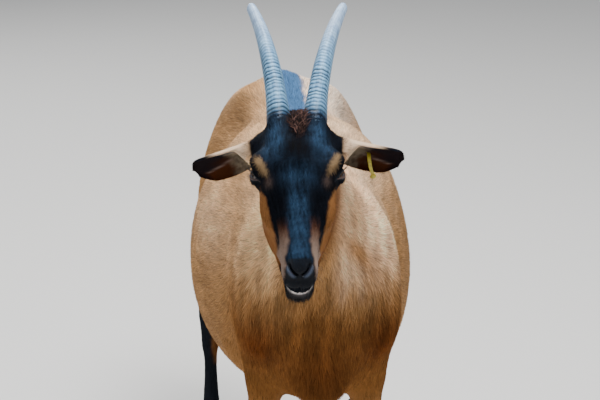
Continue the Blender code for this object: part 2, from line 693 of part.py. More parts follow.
def main():
    clear_scene()
    shapes = [trunk(), neck(), tail()] + skull() + udder() + muscles()
    for _, side in SIDES:
        shapes += [foreleg(side), hind_leg(side)]
    form = joined_form(shapes)

    parts = horned_parts()
    for word, side in SIDES:
        parts["ear_" + word] = ear("ear_" + word, side)
    hole = grown(parts["ear_tag"], CUT, "hole")
    boolean(parts["ear_left"], hole, "DIFFERENCE")
    remove(hole)
    for name, obj in parts.items():
        if name.startswith(("horn", "eye", "ear_left", "ear_right", "dewclaw")):
            socket = grown(obj, CUT, "socket")
            boolean(form, socket, "DIFFERENCE")
            remove(socket)
    for _, side in SIDES:
        for _, stance, y, _, _ in FEET:
            x = side * stance
            hoof = block("hoof_line", (x - 0.06, y - 0.1, -0.1), (x + 0.06, y + 0.1, CORONET),
                         lift=(0.1 * CORONET_SLOPE, -0.1 * CORONET_SLOPE), grow=CUT / 2)
            boolean(form, hoof, "DIFFERENCE")
            remove(hoof)
    carve_mouth(form)

    parts["head"] = part_off(form, behind_jaw, "head", "coat_dark")
    parts["lower_jaw"] = part_off(parts["head"], under_mouth, "lower_jaw", "coat_dark")
    parts["neck"] = part_off(form, neck_base, "neck", "coat_tan")
    parts["tail"] = part_off(form, tail_root, "tail", "coat_dark")
    parts["udder"] = part_off(form, under_belly, "udder", "skin_pink")
    for word, side in SIDES:
        upper = part_off(form, fore_cut(side), "foreleg_upper_" + word, "coat_tan")
        parts["foreleg_lower_" + word] = part_off(
            upper, low_cut(side, -0.255, 0.262), "foreleg_lower_" + word, "coat_dark")
        upper = part_off(form, hind_cut(side), "hind_leg_upper_" + word, "coat_tan")
        parts["hind_leg_lower_" + word] = part_off(
            upper, low_cut(side, 0.400, 0.292), "hind_leg_lower_" + word, "coat_dark")
    form.name = "trunk"
    form.data.materials.clear()
    form.data.materials.append(material("coat_tan"))
    centre_on_floor()


def centre_on_floor():
    """Largest pieces only, and the middle of the whole at x = y = 0, its feet at z = 0."""
    low, high = np.full(3, 9.0), np.full(3, -9.0)
    for obj in bpy.data.objects:
        largest_piece(obj)
        obj.data.shade_smooth()
        points = np.array([v.co for v in obj.data.vertices])
        low, high = np.minimum(low, points.min(0)), np.maximum(high, points.max(0))
    move = Matrix.Translation((-(low[0] + high[0]) / 2, -(low[1] + high[1]) / 2, -low[2]))
    for obj in bpy.data.objects:
        obj.data.transform(move)


main()
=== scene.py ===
"""A still, life-size goat: skin, short coat, horns, eyes, hooves, ear tag and a studio floor.

Metres, +Z up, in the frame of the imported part. She faces -Y and her left side is +X.
Two sets of axes help to place things. Body axes are the row's axes with their origin where the
part's own drawing has it. Head axes are x to her left, s from the poll down the face, and n out
of the forehead.
"""

import json
import math
from contextlib import contextmanager

import bmesh
import bpy
import numpy as np
from bpy.props import FloatProperty, FloatVectorProperty, IntProperty, PointerProperty
from bpy.types import Operator, Panel, PropertyGroup
from mathutils import Matrix, Vector

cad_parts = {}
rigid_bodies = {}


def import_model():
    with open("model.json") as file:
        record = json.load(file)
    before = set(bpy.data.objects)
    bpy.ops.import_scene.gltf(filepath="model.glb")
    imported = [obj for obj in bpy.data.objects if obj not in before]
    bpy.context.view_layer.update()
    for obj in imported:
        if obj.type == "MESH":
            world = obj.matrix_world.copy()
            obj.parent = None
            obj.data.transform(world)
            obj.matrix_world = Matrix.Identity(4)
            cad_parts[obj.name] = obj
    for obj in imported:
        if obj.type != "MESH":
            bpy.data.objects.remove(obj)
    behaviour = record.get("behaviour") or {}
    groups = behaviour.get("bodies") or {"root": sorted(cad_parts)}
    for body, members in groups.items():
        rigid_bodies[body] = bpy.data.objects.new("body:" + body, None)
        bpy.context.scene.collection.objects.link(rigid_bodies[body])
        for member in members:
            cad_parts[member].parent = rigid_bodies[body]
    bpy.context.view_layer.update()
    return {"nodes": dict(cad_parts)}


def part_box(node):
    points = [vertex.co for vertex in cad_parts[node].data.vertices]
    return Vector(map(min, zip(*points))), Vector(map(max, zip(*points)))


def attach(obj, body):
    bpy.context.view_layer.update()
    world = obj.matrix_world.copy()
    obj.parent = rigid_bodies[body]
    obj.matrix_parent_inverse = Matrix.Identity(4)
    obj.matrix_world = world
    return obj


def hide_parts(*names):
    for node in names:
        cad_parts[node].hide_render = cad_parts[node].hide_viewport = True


bl_info = {
    "name": "Life-size goat",
    "version": (1, 0, 0),
    "blender": (4, 5, 0),
    "location": "3D View > Sidebar > Goat",
    "description": "Builds a still goat with skin, coat, horns, eyes and hooves",
    "category": "Mesh",
}

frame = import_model()
SIDES = (("left", 1), ("right", -1))

# ---------------------------------------------------------------- where things are
HEAD_PITCH, HEAD_YAW, HEAD_ROLL = math.radians(33), math.radians(-3.6), math.radians(0.8)
POLL = np.array((-0.0495, -0.520, 0.888))
EYE = np.array((0.0512, 0.0765, -0.0225))
EYE_RADIUS = 0.0125
HORN_BASE = (0.0221, 0.036, -0.029)
HORN_LENGTH = 0.269
HORN_LEAN = math.radians(1.6)
# Lids, in radii of the eye: how far each edge bows from the slit, and half the slit's length
LID_UP, LID_LOW = 0.34, 0.21
LID_REACH = 0.80
EAR_LENGTH = 0.122
EAR_ROOT = (0.044, 0.027, -0.052)
EAR_DROOP = {1: 22.8, -1: 31.0}
EAR_BACK = {1: 0.36, -1: 0.40}
EAR_TURN = math.radians(30)
# Along the ear: share of its length, half its width and the depth of its cup
EAR_ROWS = [(0.00, 0.0205, 0.0185), (0.20, 0.0215, 0.0190), (0.42, 0.0242, 0.0190),
            (0.66, 0.0264, 0.0158), (0.87, 0.0242, 0.0110), (1.00, 0.0070, 0.0060)]
EAR_WALL = 0.0050
# How far the blade's middle hangs below the ear's own line, and how far its tip bends back
EAR_LOW = 0.0030
EAR_BEND = 0.010
NOSTRIL = np.array((0.0095, 0.2095, -0.0150))
COAT_LENGTH = 0.0150


def head_axes():
    """Columns are the head's x, s and n in the row's axes."""
    sin, cos = math.sin(HEAD_PITCH), math.cos(HEAD_PITCH)
    own = Matrix(((1, 0, 0), (0, -sin, -cos), (0, -cos, sin)))
    return Matrix.Rotation(HEAD_YAW, 3, "Z") @ Matrix.Rotation(HEAD_ROLL, 3, own.col[2]) @ own


def middle(node):
    low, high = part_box(node)
    return np.array((low + high) / 2)


AXES = np.array(head_axes())
EYES_BETWEEN = (middle("eye_left") + middle("eye_right")) / 2
HEAD_AT = EYES_BETWEEN - AXES @ np.array((0, EYE[1], EYE[2]))
BODY_AT = HEAD_AT - POLL


def on_head(x, s, n):
    """A point of the head's axes, in the row's axes."""
    return Vector(HEAD_AT + AXES @ np.array((x, s, n)))


def to_head(points):
    return (points - HEAD_AT) @ AXES


def to_body(points):
    return points - BODY_AT


# ---------------------------------------------------------------- small maths
def smooth(low, high, value):
    """0 below low, 1 above high, and an even curve between."""
    t = np.clip((np.asarray(value, float) - low) / (high - low), 0, 1)
    return t * t * (3 - 2 * t)


def hill(*terms):
    """A round hill of height 1: exp of minus the sum of ((value - middle) / width) squared."""
    return np.exp(-sum(((value - at) / width) ** 2 for value, at, width in terms))


def mix(a, b, share):
    share = np.asarray(share)[..., None]
    return a * (1 - share) + b * share


def unit(v):
    return v / np.maximum(np.linalg.norm(v, axis=-1, keepdims=True), 1e-9)


def ripple(points, size, seed=0):
    """Soft noise of about -1 to 1, from sines that run in many directions."""
    rng = np.random.default_rng(seed)
    total = np.zeros(len(points))
    for octave in (1.0, 1.9, 3.7):
        for _ in range(4):
            way = unit(rng.normal(size=3)) * 2 * math.pi / size * octave
            total += np.sin(points @ way + rng.uniform(0, 6.3)) / (4 * octave ** 0.7)
    return total


# ---------------------------------------------------------------- mesh helpers
def read(items, key, columns, kind=np.float32):
    """One value of each item, as an array with that many columns."""
    found = np.empty(columns * len(items), kind)
    items.foreach_get(key, found)
    return found.reshape(-1, columns)


def points_of(mesh):
    return read(mesh.vertices, "co", 3).astype(float)


def put_points(mesh, points):
    mesh.vertices.foreach_set("co", np.asarray(points, np.float32).ravel())
    mesh.update()


def normals_of(mesh):
    return read(mesh.vertex_normals, "vector", 3).astype(float)


def edges_of(mesh):
    return read(mesh.edges, "vertices", 2, np.int32)


@contextmanager
def edit(mesh):
    """A mesh opened as a bmesh, and written back at the end."""
    bm = bmesh.new()
    bm.from_mesh(mesh)
    yield bm
    bm.to_mesh(mesh)
    bm.free()


def relax(mesh, factors, share=1.0):
    """Smooths by steps towards the middle of the neighbours. In and out by turns keeps size."""
    points = points_of(mesh)
    a, b = edges_of(mesh).T
    total = len(points)
    count = np.bincount(a, minlength=total) + np.bincount(b, minlength=total)
    count = np.maximum(count, 1)[:, None]
    share = np.asarray(share, float).reshape(-1, 1)
    for factor in factors:
        around = np.stack([np.bincount(a, points[b, k], total) + np.bincount(b, points[a, k], total)
                           for k in range(3)], axis=1)
        points += factor * share * (around / count - points)
    put_points(mesh, points)


def finish(mesh, material):
    """Gives a whole mesh one material."""
    mesh.materials.clear()
    mesh.materials.append(material)


def new_object(name, mesh, material=None):
    obj = bpy.data.objects.new(name, mesh)
    bpy.context.scene.collection.objects.link(obj)
    if material:
        finish(mesh, material)
    return obj


def object_from(name, verts, faces, material=None, turn_out=True):
    mesh = bpy.data.meshes.new(name)
    mesh.from_pydata([tuple(v) for v in verts], [], faces)
    if turn_out:
        with edit(mesh) as bm:
            bmesh.ops.recalc_face_normals(bm, faces=bm.faces)
    mesh.shade_smooth()
    return new_object(name, mesh, material)


def applied(obj):
    """Turns an object's modifiers into its own plain mesh."""
    graph = bpy.context.evaluated_depsgraph_get()
    mesh = bpy.data.meshes.new_from_object(obj.evaluated_get(graph), depsgraph=graph)
    obj.modifiers.clear()
    old, obj.data = obj.data, mesh
    bpy.data.meshes.remove(old)
    return obj


def remeshed(obj, voxel):
    """One closed surface of even faces in place of all that an object holds."""
    step = obj.modifiers.new("even_faces", "REMESH")
    step.mode = "VOXEL"
    step.voxel_size = voxel
    return applied(obj)


def joined(objects):
    with bpy.context.temp_override(active_object=objects[0], selected_editable_objects=objects):
        bpy.ops.object.join()
    return objects[0]


def through(rows, steps):
    """Rows of numbers, and steps - 1 more between each two, on a smooth curve through them."""
    rows = np.array(rows, float)
    ends = np.vstack([2 * rows[0] - rows[1], rows, 2 * rows[-1] - rows[-2]])
    found = []
    for i in range(1, len(ends) - 2):
        before, start, end, after = ends[i - 1:i + 3]
        for t in np.arange(steps) / steps:
            found.append(0.5 * (
                2 * start + (end - before) * t
                + (2 * before - 5 * start + 4 * end - after) * t**2
                + (3 * start - before - 3 * end + after) * t**3))
    return np.array(found + [rows[-1]])


def skin_over(rings, looped=False):
    """Faces of a tube through rings of equal counts, with both ends filled or joined."""
    count, faces = len(rings[0]), []
    for i in range(len(rings) - (0 if looped else 1)):
        for j in range(count):
            k = (j + 1) % count
            a, b = i * count, (i + 1) % len(rings) * count
            faces.append((a + j, a + k, b + k, b + j))
    if not looped:
        last = (len(rings) - 1) * count
        faces.append(tuple(reversed(range(count))))
        faces.append(tuple(last + j for j in range(count)))
    return faces


def tube(name, rings, material=None, looped=False):
    return object_from(name, [p for each in rings for p in each], skin_over(rings, looped), material)


def ring_at(point, right, up, half, above, below, count):
    """An egg-shaped closed ring of points."""
    found = []
    for a in np.arange(count) / count * 2 * math.pi:
        c, s = math.cos(a), math.sin(a)
        found.append(point + right * (half * c) + up * (above if s > 0 else below) * s)
    return found


def squared(value, power):
    """A sine or cosine raised to a power, which squares or pinches a round section."""
    return math.copysign(abs(value) ** power, value)


def frames_along(line, first_up, looped=False):
    """(point, right, up) at each point of a line, carrying the first up along it."""
    line = [Vector(p) for p in line]
    found, up, last = [], Vector(first_up), len(line) - 1
    for i, point in enumerate(line):
        after = line[(i + 1) % len(line) if looped else min(i + 1, last)]
        before = line[i - 1 if looped else max(i - 1, 0)]
        ahead = (after - before).normalized()
        up = (up - ahead * up.dot(ahead)).normalized()
        found.append((point, ahead.cross(up), up))
    return found


def ellipsoid(name, place, radii):
    mesh = bpy.data.meshes.new(name)
    with edit(mesh) as bm:
        bmesh.ops.create_uvsphere(bm, u_segments=20, v_segments=12, radius=1)
        bmesh.ops.transform(bm, verts=bm.verts,
                            matrix=Matrix.Translation(place) @ Matrix.Diagonal((*radii, 1)))
    return new_object(name, mesh)


# ---------------------------------------------------------------- materials
class Nodes:
    """A material's node tree, with short ways to add and join nodes."""

    def __init__(self, name):
        self.material = bpy.data.materials.new(name)
        self.material.use_nodes = True
        self.tree = self.material.node_tree
        self.shader = self.tree.nodes["Principled BSDF"]

    def add(self, kind, **inputs):
        node = self.tree.nodes.new(kind)
        for key, value in inputs.items():
            if hasattr(node, key):
                setattr(node, key, value)
            else:
                node.inputs[key.replace("_", " ")].default_value = value
        return node

    def join(self, source, target):
        self.tree.links.new(source, target)

    def feed(self, source, socket):
        """Joins a source to one of the shader's own sockets."""
        self.join(source, self.shader.inputs[socket])

    def attribute(self, name, output="Color"):
        return self.add("ShaderNodeAttribute", attribute_name=name).outputs[output]

    def set(self, **values):
        for key, value in values.items():
            self.shader.inputs[key.replace("_", " ")].default_value = value

    def maths(self, operation, a, b=None):
        node = self.tree.nodes.new("ShaderNodeMath")
        node.operation = operation
        for socket, value in zip(node.inputs, (a, b)):
            if value is None:
                continue
            if isinstance(value, (int, float)):
                socket.default_value = value
            else:
                self.join(value, socket)
        return node.outputs[0]

    def bump(self, height, strength, distance):
        node = self.add("ShaderNodeBump", Strength=strength, Distance=distance)
        self.join(height, node.inputs["Height"])
        self.feed(node.outputs[0], "Normal")

    def noise(self, scale, detail=4.0, roughness=0.5):
        node = self.add("ShaderNodeTexNoise", Scale=scale, Detail=detail, Roughness=roughness)
        place = self.tree.nodes.get("place") or self.tree.nodes.new("ShaderNodeTexCoord")
        place.name = "place"
        self.join(place.outputs["Object"], node.inputs["Vector"])
        return node.outputs["Fac"]

    def ramp(self, value, *stops):
        node = self.tree.nodes.new("ShaderNodeValToRGB")
        elements = node.color_ramp.elements
        while len(elements) < len(stops):
            elements.new(0.5)
        for element, (at, colour) in zip(elements, stops):
            element.position = at
            element.color = (*colour, 1) if len(colour) == 3 else colour
        self.join(value, node.inputs["Fac"])
        return node.outputs["Color"]


# ---------------------------------------------------------------- where a point of the coat is
def regions(points):
    """What share of each point is head, ear, neck, fore or hind leg, tail and udder, with its
    place in the body's axes as x, y and z, and in the head's axes as h."""
    h = to_head(points)
    x, y, z = to_body(points).T
    across = np.abs(x)
    ear = np.zeros(len(points))
    for _, side in SIDES:
        local = ear_local(points, side)
        half = ear_half(local[:, 0] / EAR_LENGTH) + 0.005
        on_it = (np.abs(local[:, 1]) < half) & (local[:, 2] > -0.026) & (local[:, 2] < 0.012)
        on_it &= local[:, 0] < EAR_LENGTH * 1.05
        ear = np.maximum(ear, smooth(0.010, 0.024, local[:, 0]) * on_it)
    head = smooth(-0.462, -0.500, y) * (1 - ear)
    throat = smooth(0.03, -0.02, -h[:, 2] - 0.055 - 0.6 * h[:, 1]) * (y < -0.42)
    head = np.maximum(head, throat) * (1 - ear)
    neck = smooth(-0.270, -0.400, y) * smooth(0.585, 0.655, z) * (1 - head) * (1 - ear)
    fore = smooth(0.470, 0.400, z) * (y < -0.15) * smooth(0.030, 0.052, across)
    fore *= smooth(0.37, 0.39, 0.85 - z)
    hind = smooth(0.500, 0.400, z + 0.35 * (0.40 - y)) * smooth(0.200, 0.235, y)
    hind *= smooth(0.056, 0.074, across)
    tail = smooth(0.448, 0.462, y) * smooth(0.560, 0.580, z)
    udder = smooth(0.455, 0.420, z) * smooth(0.205, 0.235, y) * (1 - hind)
    return {"head": head, "ear": ear, "neck": neck, "fore": fore, "hind": hind, "tail": tail,
            "udder": udder, "x": x, "y": y, "z": z, "h": h}


def ear_frame(side):
    """Origin at the ear's root; x runs out along the ear, z out of its opening."""
    droop = math.radians(EAR_DROOP[side])
    out = Vector((side * math.cos(droop), EAR_BACK[side], -math.sin(droop))).normalized()
    opening = Vector((0, -math.cos(EAR_TURN), -math.sin(EAR_TURN)))
    opening = (opening - out * opening.dot(out)).normalized()
    place = Matrix((out, opening.cross(out), opening)).transposed().to_4x4()
    root = on_head(side * EAR_ROOT[0], EAR_ROOT[1], EAR_ROOT[2])
    return Matrix.Translation(root) @ Matrix.Rotation(HEAD_YAW, 4, "Z") @ place


def ear_low(at, side):
    """How far the middle of the blade is from the ear's own line, at a share of its length."""
    return side * EAR_LOW * np.sin(math.pi * np.clip(at / 0.92, 0, 1))


def ear_local(points, side):
    """(along, across from the blade's middle, out of the opening) in an ear's own axes."""
    place = np.array(ear_frame(side))
    local = (points - place[:3, 3]) @ place[:3, :3]
    local[:, 1] += ear_low(local[:, 0] / EAR_LENGTH, side)
    return local


def ear_half(at):
    """Half the ear's width at a share of its length."""
    return np.interp(at, [row[0] for row in EAR_ROWS], [row[1] for row in EAR_ROWS])


def in_the_ear(local):
    """1 on the hollow side of an ear and 0 on its back, from places in the ear's own axes."""
    at = np.clip(local[:, 0] / EAR_LENGTH, 0, 1)
    cup = np.interp(at, [row[0] for row in EAR_ROWS], [row[2] for row in EAR_ROWS])
    share = np.clip(np.abs(local[:, 1]) / ear_half(at), 0, 1)
    middle_of_wall = -EAR_BEND * at**2 - (cup - 0.45 * EAR_WALL) * np.sqrt(1 - share**2) + 0.0005
    return smooth(-0.0005, 0.0008, local[:, 2] - middle_of_wall) * smooth(0.17, 0.24, at)


def eye_axes(side):
    """Columns are the eye's along (towards the nose), up and out, in the head's axes."""
    out = unit(np.array((side * 0.86, 0.06, 0.50)))
    along = np.array((0, 0.60, 0.80))
    along = unit(along - out * (along @ out))
    up = np.array((0, -1.0, 0.9))
    up = unit(up - out * (up @ out) - along * (up @ along))
    return np.stack([along, up, out], axis=1)


def eye_local(points, side):
    """(along the slit towards the nose, up, out) from the middle of an eye, in radii."""
    return (to_head(points) - EYE * (side, 1, 1)) / EYE_RADIUS @ eye_axes(side)


def from_eye(local, side):
    """Places in an eye's own axes, in metres, turned back to the row's axes."""
    return HEAD_AT + (EYE * (side, 1, 1) + local @ eye_axes(side).T) @ AXES.T


def lid_bow(along):
    """How far the lids' edges bow apart at a place along the slit: 1 in its middle."""
    return 1 - (along / LID_REACH) ** 2


def lid_gap(local):
    """Above 0 in the opening between the lids, 0 at their edges and below 0 on them."""
    way = unit(local)
    along, up = way[:, 0] - 0.02, way[:, 1]
    bow = np.clip(lid_bow(along), -1, 1)
    upper, lower = LID_UP * bow * (1 - 0.15 * along), -LID_LOW * bow
    return np.where(way[:, 2] > 0, np.minimum(upper - up, up - lower), -1)


# ---------------------------------------------------------------- colours of the animal
TAN = np.array((0.430, 0.225, 0.088))
PALE_TAN = np.array((0.640, 0.465, 0.315))
RED_BROWN = np.array((0.115, 0.030, 0.006))
BROWN = np.array((0.200, 0.080, 0.020))
DARK = np.array((0.0125, 0.0150, 0.0200))
CREAM = np.array((0.58, 0.44, 0.33))
PINK = np.array((0.42, 0.22, 0.18))
FACE_BLACK = np.array((0.0045, 0.0055, 0.0085))
# Painted reflection: blue sheens of sky on the black hair of the face and of the back
FACE_SKY_SHEEN = np.array((0.0230, 0.0520, 0.1000))
BACK_SKY_SHEEN = np.array((0.050, 0.118, 0.235))
CHEEK = np.array((0.245, 0.105, 0.036))
CROWN = np.array((0.0260, 0.0135, 0.0110))
MUZZLE = np.array((0.250, 0.172, 0.132))
GREY_PINK = np.array((0.17, 0.115, 0.095))
EAR_HAIR = np.array((0.105, 0.080, 0.056))
NOSE = np.array((0.0075, 0.0085, 0.0115))
LIP_DEEP = np.array((0.24, 0.30, 0.34))
LIP_PALE = np.array((0.84, 0.75, 0.72))
HORN_MIDDLE = np.array((0.40, 0.47, 0.62))
IRIS = np.array((0.075, 0.036, 0.012))
IRIS_EDGE = np.array((0.05, 0.022, 0.008))
EYE_WHITE = np.array((0.10, 0.06, 0.05))
PUPIL = np.array((0.006, 0.007, 0.012))


def pigment(points):
    """The colour of skin and coat at each point: the markings that both carry, with painted light
    and shade among them. Three ripples stir them, from broad patches down to single locks."""
    r = regions(points)
    r["stir"] = ripple(points, 0.030, 1)
    r["fine"] = ripple(points, 0.009, 2)
    r["wide"] = ripple(points, 0.16, 3)
    colour = face_colours(dark_points(tan_body(points, r), r), points, r)
    for _, side in SIDES:
        colour = ear_colours(colour, points, r, side)
    teats = smooth(0.405, 0.375, r["z"] + 0.006 * r["stir"]) * smooth(0.105, 0.080, np.abs(r["x"]))
    colour = mix(colour, PINK * 1.1, 0.9 * r["udder"] * teats)
    return np.clip(colour * (1 + 0.05 * r["fine"])[:, None], 0.003, 1)


def tan_body(points, r):
    """The tan body, browner on chest and legs. Painted light makes it paler above, along her right
    flank and on the front of the neck; painted shade darkens the top of her right rump, a fold on
    the left of the neck and, in part, the chest.
    """
    x, y, z, stir, wide = r["x"], r["y"], r["z"], r["stir"], r["wide"]
    across = np.abs(x)
    colour = np.tile(TAN, (len(points), 1))
    # Painted light: paler on top, more on her left, and pinker over the left loin as a painted highlight
    top = smooth(0.58, 0.74, z + 0.03 * wide)
    loin_highlight = smooth(0.10, 0.20, y) * smooth(0.38, 0.28, y) * (x > 0)
    highlight_tan = mix(PALE_TAN, PALE_TAN * (1.22, 1.34, 1.60), loin_highlight)
    colour = mix(colour, highlight_tan, 0.78 * top * (y > -0.30) * (0.45 + 0.55 * smooth(-0.06, 0.07, x)))
    # Painted shade on the top of her right rump
    colour = mix(colour, TAN * 0.82, 0.85 * hill((y, 0.245, 0.060)) * top * smooth(-0.03, -0.07, x))
    # Painted light along the upper part of her right flank
    colour = mix(colour, PALE_TAN * (1.40, 1.20, 1.02),
                 0.82 * hill((z, 0.600, 0.052), (y, -0.06, 0.15)) * smooth(-0.09, -0.13, x))
    elbow = hill((y, -0.205, 0.060), (z, 0.435, 0.050)) * smooth(0.09, 0.12, across)
    colour = mix(colour, BROWN, 0.42 * elbow)

    # Chest, with a red-brown patch over each foreleg and one between them: partly coat colour, partly painted
    # shade
    front = smooth(-0.16, -0.28, y)
    chest = smooth(0.600, 0.505, z + 0.012 * wide - 0.030 * hill((x, -0.012, 0.040)))
    colour = mix(colour, BROWN, 0.90 * front * chest * smooth(0.34, 0.40, z))
    colour = mix(colour, BROWN, 0.40 * smooth(0.48, 0.36, z + 0.02 * wide))
    over_legs = hill((y, -0.335, 0.085), (z, 0.508, 0.056), (across, 0.092, 0.034))
    colour = mix(colour, RED_BROWN, 0.95 * over_legs)
    colour = mix(colour, RED_BROWN, 0.65 * hill((z, 0.460, 0.070), (x, 0, 0.060)) * smooth(-0.28, -0.33, y))
    colour = mix(colour, RED_BROWN, 0.45 * hill((y - 0.25 * (z - 0.55), 0.365, 0.030), (z, 0.520, 0.100)))

    # Front of the neck paler with painted light, and a fold on its left darker with painted shade
    lit = smooth(-0.20, -0.33, y) * smooth(0.565, 0.645, z + 0.010 * stir)
    lit *= smooth(0.024, 0.056, np.abs(x + 0.026 * front))
    warm = mix(PALE_TAN * (1.50, 1.31, 1.20), PALE_TAN * (1.56, 1.34, 1.08), smooth(0, -0.06, x))
    colour = mix(colour, warm, 0.88 * lit)
    fold = hill((x - 0.046 - 0.53 * (0.658 - z), 0, 0.0145), (z, 0.654, 0.044))
    fold = np.maximum(fold, 0.50 * hill((x, 0.043, 0.018), (z, 0.706, 0.036)))
    colour = mix(colour, TAN * (0.90, 0.80, 0.70), 0.90 * fold * front * (y > -0.47))

    # Locks of hair along its lie, paler where they turn to the light
    down = ripple(points * (1.0, 0.30, 0.18), 0.021, 5)
    back = ripple(points * (0.45, 0.20, 1.0), 0.021, 6)
    on_front = smooth(-0.24, -0.34, y) * smooth(0.42, 0.50, z)
    body_only = 1 - np.clip(r["head"] + r["ear"], 0, 1)
    legs = np.clip(r["fore"] + r["hind"], 0, 1)
    locks = 0.35 * down * on_front + 0.23 * back * (1 - on_front) * (1 - legs)
    colour *= (1 + locks * body_only)[:, None]
    colour *= (1 + 0.10 * ripple(points * (1, 1, 0.15), 0.010, 8) * legs)[:, None]
    colour *= (1 + 0.12 * wide + 0.06 * stir)[:, None]
    return colour


def dark_points(colour, r):
    """The black line down the back with a painted blue sheen of sky on it, the tail, the belly line
    and the black of the legs.
    """
    x, y, z, stir = r["x"], r["y"], r["z"], r["stir"]
    across, rough_z = np.abs(x), z + 0.006 * stir
    on_nape = smooth(-0.24, -0.30, y) * smooth(0.60, 0.64, z)
    near_top = np.maximum(smooth(0.640, 0.690, z) * (y > -0.36), on_nape)
    middle_x = np.where(y < -0.30, -0.050 * smooth(-0.30, -0.50, y), 0)
    stripe = smooth(0.026, 0.015, np.abs(x - middle_x) + 0.004 * stir) * np.clip(near_top, 0, 1)
    stripe *= np.where(y < -0.32, smooth(-0.035, 0.000, nape_height(y, z)), 1)
    tail = r["tail"] * smooth(0.478, 0.470, y - 0.25 * (0.70 - z))
    belly = smooth(0.345, 0.325, z + 0.004 * stir) * (r["hind"] < 0.3) * (r["fore"] < 0.3)
    belly *= (y > -0.20) * (y < 0.20) * smooth(0.09, 0.06, across)
    dark = np.maximum(np.maximum(stripe * (y > -0.50), tail), 0.9 * belly)

    front = smooth(-0.262, -0.274, y + 0.004 * stir) + smooth(0.235, 0.205, rough_z)
    fore = np.clip(front * smooth(0.315, 0.295, rough_z) + smooth(0.225, 0.195, rough_z), 0, 1)
    shin = smooth(0.010, -0.010, y - (0.285 + 0.33 * (0.50 - z)) + 0.004 * stir)
    outer = smooth(0.128, 0.136, across + 0.002 * stir)
    low = smooth(0.40, 0.36, rough_z)
    hind = np.clip(shin * smooth(0.50, 0.46, z) + low * outer + smooth(0.19, 0.15, rough_z), 0, 1)
    dark = np.maximum(dark, r["fore"] * fore)
    dark = np.maximum(dark, r["hind"] * smooth(0.232, 0.266, y) * hind)
    # Painted reflection: a blue sheen of sky on the black line, along the back and faint on the nape
    blue = smooth(0.62, 0.68, z) * (0.15 + 0.85 * smooth(-0.26, -0.12, y)) * smooth(0.42, 0.34, y)
    colour = mix(colour, mix(DARK, BACK_SKY_SHEEN * (1 + 0.25 * r["fine"])[:, None], blue), dark)
    inner_hind = r["hind"] * low * (1 - outer) * smooth(0.14, 0.19, z)
    return mix(colour, RED_BROWN * 0.8, 0.75 * inner_hind * (1 - shin))


